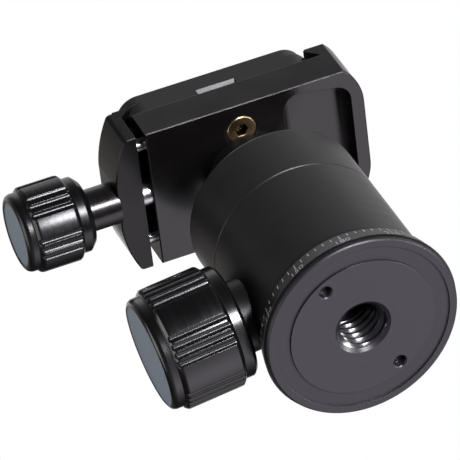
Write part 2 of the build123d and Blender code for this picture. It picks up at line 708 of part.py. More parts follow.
def make_moving_jaw():
    # the nose hooks over the plate's flange, on the mirror image of the fixed jaw's flank
    flank = VEE_SUM - 2 * DOVETAIL_X
    nose = make_face(Polyline(*xz([
        (JAW_INNER_X - 1, flank + JAW_INNER_X),
        (JAW_INNER_X, flank + JAW_INNER_X),
        (JAW_NOSE_X, flank + JAW_NOSE_X),
        (JAW_NOSE_X, MOVING_JAW_TOP - JAW_ROUND),
        (JAW_NOSE_X - JAW_ROUND, MOVING_JAW_TOP),
        (JAW_INNER_X - 1, MOVING_JAW_TOP),
    ]), close=True))
    jaw = jaw_blank() + extrude(nose, amount=CLAMP_HALF_L, both=True)
    jaw -= rod_x(SCREW_R + RUNNING, JAW_BOW_X - 1, JAW_INNER_X + 1, 0, SCREW_Z)
    jaw -= rod_x(SLEEVE_R, JAW_BOW_X - 1, JAW_BOW_X + SLEEVE_SEAT, 0, SCREW_Z)
    for side in (-1, 1):
        jaw -= rod_x(PIN_R, PIN_START, JAW_INNER_X + 1, side * PIN_Y, PIN_Z)
    return jaw


def make_guide_pins():
    return Compound([rod_x(PIN_R, PIN_START, PIN_END, side * PIN_Y, PIN_Z) for side in (-1, 1)])


def make_clamp_sleeve():
    sleeve = rod_x(SLEEVE_R, SLEEVE_END + SEAT_GAP, JAW_BOW_X + SLEEVE_SEAT, 0, SCREW_Z)
    return sleeve - rod_x(SCREW_R + RUNNING, SLEEVE_END - 1, JAW_INNER_X, 0, SCREW_Z)


def make_clamp_knob():
    knob = knob_blank(
        -SLEEVE_END, CLAMP_KNOB_COLLAR_L, -CLAMP_KNOB_GRIP_END, -CLAMP_KNOB_END,
        CLAMP_COLLAR_R, CLAMP_COLLAR_CHAMFER, CLAMP_KNOB_R, CLAMP_RIM_R, CLAMP_INSERT_R,
    )
    knob = cut_grooves(
        knob, -SLEEVE_END + CLAMP_KNOB_COLLAR_L - 0.4, -CLAMP_KNOB_GRIP_END + 0.4, CLAMP_KNOB_R,
        CLAMP_GROOVE_COUNT, CLAMP_GROOVE_STEP_ANGLE, CLAMP_GROOVE_ANGLE,
    )
    return to_knob_side(knob - rod(SCREW_R, 0, -CLAMP_KNOB_END - SCREW_COVER))


def make_clamp_knob_insert():
    return to_knob_side(rod(CLAMP_INSERT_R, -CLAMP_KNOB_END - INSERT_T, -CLAMP_KNOB_END - 0.15))


def make_clamp_screw():
    return rod_x(SCREW_R, CLAMP_KNOB_END + SCREW_COVER, SCREW_END, 0, SCREW_Z)


def make_safety_pin():
    at = (SAFETY_X, SAFETY_Y)
    head_top = SAFETY_SHOULDER - SEAT_GAP
    pin = rod(SAFETY_R, head_top - SAFETY_HEAD_H, CLAMP_FLOOR + SAFETY_RISE, at)
    pin = chamfer(pin.edges().group_by(Axis.Z)[-1], 0.4)
    return pin + rod(SAFETY_HEAD_R, head_top - SAFETY_HEAD_H, head_top, at)


def make_safety_spring():
    low = CLAMP_BOTTOM + PLUG_SINK + PLUG_H
    high = SAFETY_SHOULDER - SEAT_GAP - SAFETY_HEAD_H
    length = high - low - 2 * SPRING_WIRE_R - 0.1
    path = Helix(length / SPRING_TURNS, length, SPRING_R)
    wire = sweep(path.location_at(0) * Circle(SPRING_WIRE_R), path)
    return Pos(SAFETY_X, SAFETY_Y, low + SPRING_WIRE_R + 0.05) * wire


def make_safety_plug():
    at = (SAFETY_X, SAFETY_Y)
    low = CLAMP_BOTTOM + PLUG_SINK
    plug = rod(PLUG_R, low, low + PLUG_H, at)
    plug = chamfer(plug.edges().group_by(Axis.Z)[0], PLUG_CHAMFER)
    return plug - hex_hole(PLUG_HEX, low - 1, low + PLUG_HEX_DEPTH, at)


def plate_flange():
    """The plate's dovetail flange and neck, up to the ledge."""
    edge = QR_EDGE
    slope_sum = VEE_SUM - DOVETAIL_X - JAW_CLEAR * math.sqrt(2)
    half = [
        (QR_FLANGE_X - edge, PLATE_BOTTOM),
        (QR_FLANGE_X, PLATE_BOTTOM + edge),
        (QR_FLANGE_X, slope_sum - QR_FLANGE_X),
        (slope_sum - QR_LEDGE, QR_LEDGE),
    ]
    other = [(-x, z) for x, z in reversed(half)]
    bar = extrude(make_face(Polyline(*xz(half + other), close=True)), amount=QR_HALF_L, both=True)
    plan = fillet(Rectangle(QR_FLANGE_W, 2 * QR_HALF_L).vertices(), QR_CORNER_R)
    return bar & Pos(0, 0, PLATE_BOTTOM - 1) * extrude(plan, QR_LEDGE - PLATE_BOTTOM + 1)


def plate_top_body():
    """The plate's wider top, with rounded corners and a chamfered upper edge."""
    plan = fillet(Rectangle(QR_TOP_W, 2 * QR_HALF_L).vertices(), QR_CORNER_R)
    body = Pos(0, 0, QR_LEDGE) * extrude(plan, QR_TOP - QR_LEDGE)
    return chamfer(body.edges().group_by(Axis.Z)[-1], QR_TOP_EDGE)


def make_quick_release_plate():
    bar = Pos(DOVETAIL_X - PLATE_X, 0, 0) * plate_flange() + plate_top_body()
    half = CHANNEL_W / 2
    cut = block(-half, half, -PIN_POCKET_Y, PIN_POCKET_Y, PLATE_BOTTOM - 1, PLATE_BOTTOM + CHANNEL_H)
    cut += block(
        -HEAD_POCKET_W / 2, HEAD_POCKET_W / 2, -(CAMERA_HEAD_R + SCREW_SLIDE + BODY_GAP),
        CAMERA_HEAD_R + SCREW_SLIDE + BODY_GAP, PLATE_BOTTOM - 1, PLATE_BOTTOM + HEAD_POCKET_DEPTH,
    )
    for side in (-1, 1):
        ramp = make_face(Polyline(
            (0, side * (QR_HALF_L + 1), PLATE_BOTTOM - 0.01),
            (0, side * (QR_HALF_L + 1), PLATE_BOTTOM + CHANNEL_H * (1 + 1 / RAMP_L)),
            (0, side * (QR_HALF_L - RAMP_L), PLATE_BOTTOM - 0.01),
            close=True,
        ))
        cut += extrude(ramp, amount=half, both=True)
    slot = SlotOverall(2 * (SCREW_SLIDE + CAMERA_SCREW_R + BODY_GAP), 2 * (CAMERA_SCREW_R + 0.12), rotation=90)
    cut += Pos(0, 0, PLATE_BOTTOM) * extrude(slot, TALL)
    for side in (-1, 1):
        cut += pad_block(side, QR_TOP - PAD_DEPTH, QR_TOP + 1)
    return Pos(PLATE_X, 0, 0) * (bar - cut)


def pad_block(side, low, high):
    """A rubber pad's space, to one side of the camera screw's slot."""
    inner = CAMERA_HEAD_R - 1.2
    plan = fillet(Rectangle(PAD_W, 2 * PAD_HALF_L).vertices(), 1.5)
    return Pos(side * (inner + PAD_W / 2), 0, low) * extrude(plan, high - low)


def make_plate_pads():
    top = QR_TOP + PAD_PROUD
    return Compound([Pos(PLATE_X, 0, 0) * pad_block(side, QR_TOP - PAD_DEPTH, top) for side in (-1, 1)])


def make_camera_screw():
    head_top = CAMERA_HEAD_BOTTOM + CAMERA_HEAD_H
    thread_start = QR_TOP + PAD_PROUD + CAMERA_THREAD_GAP
    screw = rod(CAMERA_HEAD_R, CAMERA_HEAD_BOTTOM, head_top) + rod(CAMERA_NECK_R, head_top, thread_start)
    thread = rod(CAMERA_SCREW_R, thread_start, CAMERA_SCREW_TOP)
    screw += chamfer(thread.edges().group_by(Axis.Z)[-1], 0.5)
    coin_slot = block(-CAMERA_HEAD_R, CAMERA_HEAD_R, -0.6, 0.6, CAMERA_HEAD_BOTTOM - 1, CAMERA_HEAD_BOTTOM + 1.0)
    return Pos(PLATE_X, 0, 0) * (screw - coin_slot)


def make_screw_keeper():
    low = CAMERA_HEAD_BOTTOM + CAMERA_HEAD_H + SEAT_GAP
    ring = rod(KEEPER_R, low, low + KEEPER_T) - rod(CAMERA_NECK_R + RUNNING, low - 1, TALL)
    return Pos(PLATE_X, 0, 0) * ring


NODES = {
    "base_plate": make_base_plate,
    "tripod_socket": make_tripod_socket,
    "pan_washer_lower": make_pan_washer_lower,
    "pan_washer_upper": make_pan_washer_upper,
    "pan_retainer": make_pan_retainer,
    "pan_retainer_screws": make_pan_retainer_screws,
    "main_housing": make_main_housing,
    "top_collar": make_top_collar,
    "upper_ball_seat": make_upper_ball_seat,
    "lock_boss": make_lock_boss,
    "lift_cup": make_lift_cup,
    "wedge_pin": make_wedge_pin,
    "lock_stud": make_lock_stud,
    "lock_washer": make_lock_washer,
    "lock_knob": make_lock_knob,
    "lock_knob_insert": make_lock_knob_insert,
    "ball_liner": make_ball_liner,
    "ball_and_stem": make_ball_and_stem,
    "clamp_base": make_clamp_base,
    "clamp_bolt": make_clamp_bolt,
    "safety_plug": make_safety_plug,
    "safety_spring": make_safety_spring,
    "safety_pin": make_safety_pin,
    "moving_jaw": make_moving_jaw,
    "guide_pins": make_guide_pins,
    "clamp_sleeve": make_clamp_sleeve,
    "clamp_screw": make_clamp_screw,
    "clamp_knob": make_clamp_knob,
    "clamp_knob_insert": make_clamp_knob_insert,
    "quick_release_plate": make_quick_release_plate,
    "plate_pads": make_plate_pads,
    "screw_keeper": make_screw_keeper,
    "camera_screw": make_camera_screw,
}

os.makedirs("parts", exist_ok=True)
for name, make in NODES.items():
    export_step(make(), os.path.join("parts", name + ".step"))
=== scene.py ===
"""Looks of a ball head with a quick-release clamp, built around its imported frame.

Lengths in the dataclasses are millimetres, as on the maker's drawing, and MM turns them into metres
where a mesh is written. +Z is up and the origin is in the bottom disc's face, on the pan axis.
"""

import json
import logging
import math
from dataclasses import dataclass
from enum import Enum

import bpy
import numpy as np
from mathutils import Matrix, Vector


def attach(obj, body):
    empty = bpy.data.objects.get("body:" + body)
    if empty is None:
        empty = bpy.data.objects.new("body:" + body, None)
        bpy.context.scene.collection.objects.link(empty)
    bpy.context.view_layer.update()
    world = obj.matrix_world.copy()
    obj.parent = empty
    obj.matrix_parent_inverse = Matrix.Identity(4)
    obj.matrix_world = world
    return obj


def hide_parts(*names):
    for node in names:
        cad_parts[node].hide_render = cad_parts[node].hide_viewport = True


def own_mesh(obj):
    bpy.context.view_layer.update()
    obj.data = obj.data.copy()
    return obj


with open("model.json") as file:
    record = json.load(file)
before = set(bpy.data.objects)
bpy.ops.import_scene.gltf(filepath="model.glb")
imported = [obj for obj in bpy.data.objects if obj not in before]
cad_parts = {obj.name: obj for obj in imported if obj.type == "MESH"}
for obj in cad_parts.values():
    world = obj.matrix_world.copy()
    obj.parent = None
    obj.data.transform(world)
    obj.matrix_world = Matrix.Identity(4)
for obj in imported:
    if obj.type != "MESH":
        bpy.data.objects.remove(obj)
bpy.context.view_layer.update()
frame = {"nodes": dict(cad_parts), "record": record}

MM = 0.001
FULL_TURN = 2 * math.pi
POLE_R = 0.01
PLAIN_SHARP_DEG = 32.0
NOISE_SPAN = (0.3, 0.7)
log = logging.getLogger("ball_head")


# Shapes


@dataclass(frozen=True)
class Axle:
    """A turning axis with two directions across it, in millimetres and unit vectors."""

    origin: tuple[float, float, float]
    along: tuple[float, float, float]
    across: tuple[float, float, float]

    def place(self, radius: np.ndarray, angle: np.ndarray, station: np.ndarray) -> np.ndarray:
        """Points at a radius and angle about the axis, at a station along it.

        Args:
            radius: distance from the axis.
            angle: angle from the across direction, right-handed about the along direction.
            station: distance along the axis from its origin.

        Returns:
            An array with one more dimension, which holds x, y and z in millimetres.
        """
        w, u = np.array(self.along), np.array(self.across)
        v = np.cross(w, u)
        radius, angle, station = np.broadcast_arrays(radius, angle, station)
        out = np.multiply.outer(radius * np.cos(angle), u)
        out += np.multiply.outer(radius * np.sin(angle), v)
        return out + np.multiply.outer(station, w) + np.array(self.origin)


LOCK_YAW = math.radians(-6.2)
PLATE_X = -1.15
PAN_AXLE = Axle((0, 0, 0), (0, 0, 1), (1, 0, 0))
LOCK_AXLE = Axle((0, 0, 16.28), (-math.cos(LOCK_YAW), -math.sin(LOCK_YAW), 0), (0, 0, 1))
CLAMP_AXLE = Axle((0, 0, 57.84), (-1, 0, 0), (0, 0, 1))
CAMERA_AXLE = Axle((PLATE_X, 0, 0), (0, 0, 1), (1, 0, 0))
PLUG_AXLE = Axle((0.1, -9.0, 0), (0, 0, 1), (1, 0, 0))


def rounded_line(corners: list[tuple[float, float, float]], steps: int = 5) -> np.ndarray:
    """A line through corners, each replaced by an arc that touches both of its sides.

    The arc is the quadratic curve from the tangent point before the corner to the one after it.

    Args:
        corners: (first coordinate, second coordinate, how far the rounding reaches from the corner).
        steps: points on each rounding.

    Returns:
        An array of points, two numbers each.
    """
    points = np.array([corner[:2] for corner in corners], float)
    line = []
    for i, (*_, reach) in enumerate(corners):
        if reach == 0 or i in (0, len(corners) - 1):
            line.append(points[i][None])
            continue
        before = points[i - 1] - points[i]
        after = points[i + 1] - points[i]
        start = points[i] + before / np.linalg.norm(before) * reach
        end = points[i] + after / np.linalg.norm(after) * reach
        t = np.linspace(0, 1, steps)[:, None]
        line.append((1 - t) ** 2 * start + 2 * t * (1 - t) * points[i] + t**2 * end)
    return np.concatenate(line)


def soft_minimum(first: np.ndarray, second: np.ndarray, blend: float) -> np.ndarray:
    """The smaller of two heights, with the crossing rounded over about the blend distance."""
    share = np.clip(0.5 + 0.5 * (second - first) / blend, 0, 1)
    return second * (1 - share) + first * share - blend * share * (1 - share)


def turn_to_nearest(angles: np.ndarray, centres: np.ndarray) -> np.ndarray:
    """The unsigned angle from each direction to the nearest of the centres."""
    return np.abs((angles[:, None] - centres + math.pi) % FULL_TURN - math.pi).min(1)


def ring_faces(rows: int, cols: int) -> np.ndarray:
    """Corner numbers of the four-sided faces between neighbouring rings of points.

    Args:
        rows: number of rings.
        cols: number of points in a ring, whose last point joins its first.

    Returns:
        An array of four corner numbers for each face.
    """
    r, c = np.meshgrid(np.arange(rows - 1), np.arange(cols), indexing="ij")
    near, far, n = r * cols, (r + 1) * cols, (c + 1) % cols
    return np.stack([near + c, near + n, far + n, far + c], -1).reshape(-1, 4)


def closed_faces(grid: np.ndarray, start: int = 0) -> list[list[int]]:
    """Faces of a closed surface of rings, with a flat face over its first and its last ring.

    The volume inside them, summed over triangles, tells which way they face. Where it comes out
    negative each face is turned round, so that all of them point outwards.

    Args:
        grid: rings by points by coordinates.
        start: number of the grid's first point.

    Returns:
        Lists of corner numbers.
    """
    rows, cols = grid.shape[:2]
    sides = ring_faces(rows, cols)
    last = (rows - 1) * cols
    ring = np.arange(1, cols - 1)
    fan = np.stack([0 * ring, ring, ring + 1], 1)
    triangles = np.concatenate([sides[:, :3], sides[:, [0, 2, 3]], fan[:, ::-1], fan + last])
    points = grid.reshape(-1, 3)
    corners = (points - points.mean(0))[triangles]
    volume = np.einsum("ij,ij->", corners[:, 0], np.cross(corners[:, 1], corners[:, 2]))
    faces = [*sides.tolist(), list(range(cols - 1, -1, -1)), list(range(last, last + cols))]
    return [[start + n for n in (face if volume > 0 else face[::-1])] for face in faces]


def mesh_piece(
    name: str, points: np.ndarray, faces: list[list[int]], sharp_deg: float = PLAIN_SHARP_DEG,
) -> bpy.types.Object:
    """A new object from points in millimetres, shaded smooth up to an angle.

    Args:
        name: the piece's name.
        points: an array of points.
        faces: lists of corner numbers.
        sharp_deg: edges that bend more than this stay sharp.

    Returns:
        The object, linked to the scene.
    """
    mesh = bpy.data.meshes.new(name)
    mesh.from_pydata((points * MM).tolist(), [], faces)
    mesh.validate()
    mesh.shade_smooth()
    mesh.set_sharp_from_angle(angle=math.radians(sharp_deg))
    piece = bpy.data.objects.new(name, mesh)
    bpy.context.scene.collection.objects.link(piece)
    return piece


def closed_piece(name: str, *grids: np.ndarray, sharp_deg: float = PLAIN_SHARP_DEG) -> bpy.types.Object:
    """One object from closed surfaces, turned about an axis or swept along a path.

    Args:
        name: the piece's name.
        grids: rings by points by coordinates, in millimetres; each is closed on its own.
        sharp_deg: edges that bend more than this stay sharp.

    Returns:
        The object.
    """
    faces, count = [], 0
    for grid in grids:
        faces += closed_faces(grid, count)
        count += grid.shape[0] * grid.shape[1]
    return mesh_piece(name, np.concatenate([grid.reshape(-1, 3) for grid in grids]), faces, sharp_deg)


# Node trees


def rgba(colour: tuple[float, float, float], share: float = 1.0, lift: float = 0.0) -> tuple[float, ...]:
    """A colour times a share, plus a little light, as the four numbers that a socket takes."""
    return (*[c * share + lift for c in colour], 1.0)


class Nodes:
    """A node tree with one short call for each kind of node that it gets."""

    def __init__(self, tree: bpy.types.NodeTree) -> None:
        """Keeps the tree that the nodes go into."""
        self.tree = tree

    def give(self, socket: bpy.types.NodeSocket, value: object) -> None:
        """Joins another node's output to a socket, or sets the socket's own value.

        Args:
            socket: the input that takes the value.
            value: an output, a number or several numbers.
        """
        if isinstance(value, bpy.types.NodeSocket):
            self.tree.links.new(value, socket)
        else:
            socket.default_value = value

    def add(self, kind: str, inputs: dict | None = None, **settings: object) -> bpy.types.Node:
        """Adds a node.

        Args:
            kind: the node's type, without the words ShaderNode in front.
            inputs: a value or another node's output for each named or numbered input.
            settings: the node's own settings.

        Returns:
            The new node.
        """
        node = self.tree.nodes.new("ShaderNode" + kind)
        for key, value in settings.items():
            setattr(node, key, value)
        for key, value in (inputs or {}).items():
            self.give(node.inputs[key], value)
        return node

    def group(self, tree: bpy.types.NodeTree, **inputs: object) -> bpy.types.NodeOutputs:
        """Places a shader node group with its inputs by name, and gives back its outputs."""
        return self.add("Group", inputs, node_tree=tree).outputs

    def place(self) -> bpy.types.NodeSocket:
        """The point on the piece, in the piece's own coordinates."""
        return self.add("TexCoord").outputs["Object"]

    def math(
        self, operation: str, first: object, second: object = 0.0, clamp: bool = False,
    ) -> bpy.types.NodeSocket:
        """The result of one sum on two numbers or outputs."""
        return self.add("Math", {0: first, 1: second}, operation=operation, use_clamp=clamp).outputs[0]

    def vector(self, operation: str, first: object, second: object = (0, 0, 0)) -> bpy.types.NodeSocket:
        """The result of one sum on two vectors, as a vector."""
        return self.add("VectorMath", {0: first, 1: second}, operation=operation).outputs[0]

    def measure(self, operation: str, first: object, second: object = (0, 0, 0)) -> bpy.types.NodeSocket:
        """The result of one sum on two vectors, as a number."""
        return self.add("VectorMath", {0: first, 1: second}, operation=operation).outputs["Value"]

    def scaled(self, vector: object, share: object, label: str = "") -> bpy.types.NodeSocket:
        """A vector times a number."""
        inputs = {0: vector, "Scale": share}
        return self.add("VectorMath", inputs, operation="SCALE", label=label).outputs[0]

    def remap(
        self, value: object, span: tuple[float, float], low: float, high: float,
    ) -> bpy.types.NodeSocket:
        """A value moved from a span to the range from low to high, and held at the ends."""
        return self.add("MapRange", {0: value, 1: span[0], 2: span[1], 3: low, 4: high}).outputs[0]

    def ease(self, value: object, span: tuple[float, float]) -> bpy.types.NodeSocket:
        """A value moved from a span to nought and one, gently at both ends."""
        inputs = {0: value, 1: span[0], 2: span[1]}
        return self.add("MapRange", inputs, interpolation_type="SMOOTHSTEP").outputs[0]

    def mix(self, share: object, first: object, second: object) -> bpy.types.NodeSocket:
        """A colour between two others."""
        return self.add("MixRGB", {0: share, 1: first, 2: second}).outputs[0]

    def noise(
        self, place: object, scale: object, detail: float, roughness: float = 0.5, **settings: object,
    ) -> bpy.types.NodeSocket:
        """The value of a noise pattern at a place."""
        inputs = {"Vector": place, "Scale": scale, "Detail": detail, "Roughness": roughness}
        return self.add("TexNoise", inputs, **settings).outputs[0]

    def put_out(self, **values: bpy.types.NodeSocket) -> bpy.types.NodeTree:
        """Ends a group.

        Args:
            values: what each of its outputs puts out, by name.

        Returns:
            The group's tree.
        """
        out = self.tree.nodes.new("NodeGroupOutput")
        for key, value in values.items():
            self.give(out.inputs[key], value)
        return self.tree

    def surface(
        self, colour: object, roughness: object, height: object, normal: object = None,
    ) -> bpy.types.Node:
        """Gives a material's shader its colour, its roughness and its bumps.

        Args:
            colour: the colour over the surface.
            roughness: the roughness over the surface.
            height: the bumps' height, in millimetres.
            normal: a normal that the bumps are added to, if it isn't the piece's own.

        Returns:
            The shader, for the values that are the same all over.
        """
        bump = self.add("Bump", {"Height": height, "Distance": MM, "Strength": 1.0})
        if normal is not None:
            self.give(bump.inputs["Normal"], normal)
        shader = self.tree.nodes["Principled BSDF"]
        self.give(shader.inputs["Base Color"], colour)
        self.give(shader.inputs["Roughness"], roughness)
        self.give(shader.inputs["Normal"], bump.outputs[0])
        return shader


def new_material(name: str) -> tuple[bpy.types.Material, Nodes]:
    """Starts a material.

    Args:
        name: the material's name.

    Returns:
        The material and its nodes.
    """
    material = bpy.data.materials.new(name)
    material.use_nodes = True
    return material, Nodes(material.node_tree)


def new_group(name: str, inputs: dict[str, object], outputs: dict[str, str]) -> tuple[Nodes, dict]:
    """Starts a shader node group.

    Args:
        name: the group's name.
        inputs: default values by name; a number makes a value, three numbers make a vector.
        outputs: socket kinds by name: Float, Vector or Color.

    Returns:
        The group's nodes, and its input sockets by name.
    """
    tree = bpy.data.node_groups.new(name, "ShaderNodeTree")
    for key, value in inputs.items():
        kind = "NodeSocketFloat" if isinstance(value, float) else "NodeSocketVector"
        tree.interface.new_socket(key, in_out="INPUT", socket_type=kind).default_value = value
    for key, kind in outputs.items():
        tree.interface.new_socket(key, in_out="OUTPUT", socket_type="NodeSocket" + kind)
    entry = tree.nodes.new("NodeGroupInput")
    return Nodes(tree), {key: entry.outputs[key] for key in inputs}


@dataclass
class SurfaceEffects:
    """The effects that several finishes share, each a shader node group that is built once.

    The scales count pattern cells in a metre, and the spans are the parts of a pattern that show.
    """

    broad_scale: float = 0.12
    cloud_scale: float = 180.0
    bevel_samples: int = 6
    edge_span: tuple[float, float] = (0.995, 0.9)
    smudge_scale: float = 90.0
    smudge_span: tuple[float, float] = (0.45, 0.75)
    hair_scale: tuple[float, float, float] = (900.0, 40.0, 400.0)
    hair_turn: tuple[float, float, float] = (0.4, 0.3, 0.8)
    hair_span: tuple[float, float] = (0.68, 0.78)
    hair_strength: float = 0.6

    def __post_init__(self) -> None:
        """Builds the groups."""
        self.turned = self.turned_lines()
        self.grain = self.blasted_grain()
        self.edges = self.soft_edges()
        self.handled = self.handling_marks()

    def turned_lines(self) -> bpy.types.NodeTree:
        """Fine lines round an axis, as a lathe leaves them: noise over radius and station alone.

        Returns:
            The group's tree.
        """
        names = {"Origin": (0.0, 0.0, 0.0), "Along": (0.0, 0.0, 1.0), "Pitch": 0.1 * MM}
        n, given = new_group("turned_lines", names, {"Lines": "Float", "Broad": "Float"})
        offset = n.vector("SUBTRACT", n.place(), given["Origin"])
        station = n.measure("DOT_PRODUCT", offset, given["Along"])
        radius = n.measure("LENGTH", n.vector("SUBTRACT", offset, n.scaled(given["Along"], station)))
        steps = [n.math("DIVIDE", size, given["Pitch"]) for size in (radius, station)]
        pair = n.add("CombineXYZ", dict(enumerate(steps))).outputs[0]
        lines = n.noise(pair, 1.0, 1.5, noise_dimensions="2D")
        broad = n.noise(pair, self.broad_scale, 1.0, noise_dimensions="2D")
        return n.put_out(Lines=lines, Broad=broad)

    def blasted_grain(self) -> bpy.types.NodeTree:
        """The even speckle of a bead-blasted and anodised surface, from two sizes of noise.

        Returns:
            The group's tree.
        """
        n, given = new_group("blasted_grain", {"Size": 0.1 * MM}, {"Grain": "Float", "Cloud": "Float"})
        place = n.place()
        grain = n.noise(place, n.math("DIVIDE", 1.0, given["Size"]), 2.0)
        return n.put_out(Grain=grain, Cloud=n.noise(place, self.cloud_scale, 2.0))

    def soft_edges(self) -> bpy.types.NodeTree:
        """A normal that rounds every sharp edge over a small radius, and a mask of where it does.

        Returns:
            The group's tree.
        """
        n, given = new_group("soft_edges", {"Radius": 0.1 * MM}, {"Normal": "Vector", "Edge": "Float"})
        bevel = n.add("Bevel", {"Radius": given["Radius"]}, samples=self.bevel_samples).outputs[0]
        same = n.measure("DOT_PRODUCT", bevel, n.add("NewGeometry").outputs["Normal"])
        return n.put_out(Normal=bevel, Edge=n.remap(same, self.edge_span, 0.0, 1.0))

    def handling_marks(self) -> bpy.types.NodeTree:
        """Faint smudges and hairline marks from use, as a mask between nought and one.

        Returns:
            The group's tree.
        """
        n, given = new_group("handling_marks", {"Amount": 0.5}, {"Marks": "Float"})
        place = n.place()
        smudge = n.remap(n.noise(place, self.smudge_scale, 3.0, 0.6), self.smudge_span, 0.0, 1.0)
        drawn = n.add("Mapping", {"Vector": place, "Scale": self.hair_scale, "Rotation": self.hair_turn})
        hair = n.remap(n.noise(drawn.outputs[0], 1.0, 1.0), self.hair_span, 0.0, self.hair_strength)
        both = n.math("ADD", smudge, hair, clamp=True)
        return n.put_out(Marks=n.math("MULTIPLY", both, given["Amount"]))

    def lines_round(self, n: Nodes, axle: Axle, pitch: float) -> bpy.types.NodeOutputs:
        """Places the turned lines in a material.

        Args:
            n: the material's nodes.
            axle: the axle that the lines run round.
            pitch: the lines' pitch, in millimetres.

        Returns:
            The group's outputs, Lines and Broad.
        """
        origin = tuple(x * MM for x in axle.origin)
        return n.group(self.turned, Origin=origin, Along=axle.along, Pitch=pitch * MM)


# Finishes


class Finish(Enum):
    """The finishes that a piece can have. Most are slots of the record, by the same name."""

    DISC_BLACK = "disc_black"
    SOCKET_BLACK = "socket_black"
    THREAD_BLACK = "thread_black"
    HOUSING_BLACK = "housing_black"
    COLLAR_BLACK = "collar_black"
    BALL_BLACK = "ball_black"
    CLAMP_BLACK = "clamp_black"
    JAW_BLACK = "jaw_black"
    SLEEVE_BLACK = "sleeve_black"
    PLATE_BLACK = "plate_black"
    LOCK_KNOB_BLACK = "lock_knob_black"
    CLAMP_KNOB_BLACK = "clamp_knob_black"
    INSERT_GREY = "insert_grey"
    BEARING_POLYMER = "bearing_polymer"
    BARE_ALUMINIUM = "bare_aluminium"
    STEEL = "steel"
    BRASS = "brass"
    PAD_RUBBER = "pad_rubber"
    SCALE_WHITE = "scale_white"


@dataclass(frozen=True)
class Anodised:
    """Black anodised aluminium: a dark dyed layer over turned or blasted metal.

    Colours are linear and lengths are millimetres. The edge tint is what the metal's corners add,
    where the dye is thin. A variation is a share of the colour, up or down.
    """

    colour: tuple[float, float, float] = (0.0072, 0.0064, 0.0066)
    roughness: float = 0.36
    specular: float = 0.5
    axle: Axle | None = None
    line_pitch: float = 0.09
    line_depth: float = 0.0
    grain_size: float = 0.12
    grain_depth: float = 0.006
    edge_radius: float = 0.12
    edge_tint: float = 0.02
    marks: float = 0.3
    mark_roughness: float = 0.06
    variation: float = 0.14
    roughness_swing: float = 0.03

    def make(self, name: str, effects: SurfaceEffects) -> bpy.types.Material:
        """Builds the material.

        Args:
            name: the material's name.
            effects: the shared node groups.

        Returns:
            The material, with its colour, roughness and normal driven by nodes.
        """
        material, n = new_material(name)
        grain = n.group(effects.grain, Size=self.grain_size * MM)
        marks = n.group(effects.handled, Amount=self.marks)["Marks"]
        height = n.math("MULTIPLY", grain["Grain"], self.grain_depth)
        broad = grain["Cloud"]
        if self.axle is not None and self.line_depth:
            lines = effects.lines_round(n, self.axle, self.line_pitch)
            height = n.math("ADD", height, n.math("MULTIPLY", lines["Lines"], self.line_depth))
            broad = n.math("MULTIPLY", n.math("ADD", broad, lines["Broad"]), 0.5)
        dark, light = rgba(self.colour, 1 - self.variation), rgba(self.colour, 1 + self.variation)
        shade = n.mix(n.remap(broad, NOISE_SPAN, 0.0, 1.0), dark, light)
        low, high = self.roughness - self.roughness_swing, self.roughness + self.roughness_swing
        worn = n.math("MULTIPLY", marks, self.mark_roughness)
        rough = n.math("ADD", n.remap(broad, NOISE_SPAN, low, high), worn)
        normal = None
        if self.edge_radius:
            edge = n.group(effects.edges, Radius=self.edge_radius * MM)
            shade = n.mix(edge["Edge"], shade, rgba(self.colour, lift=self.edge_tint))
            normal = edge["Normal"]
        shader = n.surface(shade, rough, height, normal)
        shader.inputs["Specular IOR Level"].default_value = self.specular
        return material


@dataclass(frozen=True)
class BareMetal:
    """Steel, brass or plain aluminium, turned or drawn, with fine lines and dulled patches.

    Lengths are millimetres. Above a set height the colour is darkened as painted shade, which stands in
    for the shade at the bottom of a key hole. The roughness spread is how far it falls and rises over the
    dulled patches.
    """

    colour: tuple[float, float, float]
    roughness: float = 0.28
    axle: Axle = PAN_AXLE
    line_pitch: float = 0.07
    line_depth: float = 0.006
    grain_size: float = 0.15
    edge_radius: float = 0.08
    dull_span: tuple[float, float] = (0.35, 0.7)
    dull_share: float = 0.72
    roughness_spread: tuple[float, float] = (-0.04, 0.1)
    # The last three fields set painted shade: the colour is darkened above a height.
    black_above: float | None = None
    black_blend: tuple[float, float] = (-0.1, 0.15)
    black_share: float = 0.06

    def make(self, name: str, effects: SurfaceEffects) -> bpy.types.Material:
        """Builds the material.

        Args:
            name: the material's name.
            effects: the shared node groups.

        Returns:
            The material, with its colour, roughness and normal driven by nodes.
        """
        material, n = new_material(name)
        cloud = n.group(effects.grain, Size=self.grain_size * MM)["Cloud"]
        lines = effects.lines_round(n, self.axle, self.line_pitch)["Lines"]
        dull = n.remap(cloud, self.dull_span, 0.0, 1.0)
        colour = n.mix(dull, rgba(self.colour), rgba(self.colour, self.dull_share))
        # Painted shade: above a height the colour falls to a small share of itself, in place of the shade
        # deep in a hole.
        if self.black_above is not None:
            height = n.add("SeparateXYZ", {0: n.place()}).outputs["Z"]
            blend = tuple((self.black_above + x) * MM for x in self.black_blend)
            painted_shade_mask = n.remap(height, blend, 0.0, 1.0)
            colour = n.mix(painted_shade_mask, colour, rgba(self.colour, self.black_share))
        low, high = (self.roughness + x for x in self.roughness_spread)
        normal = n.group(effects.edges, Radius=self.edge_radius * MM)["Normal"]
        rough = n.remap(cloud, NOISE_SPAN, low, high)
        shader = n.surface(colour, rough, n.math("MULTIPLY", lines, self.line_depth), normal)
        shader.inputs["Metallic"].default_value = 1.0
        return material


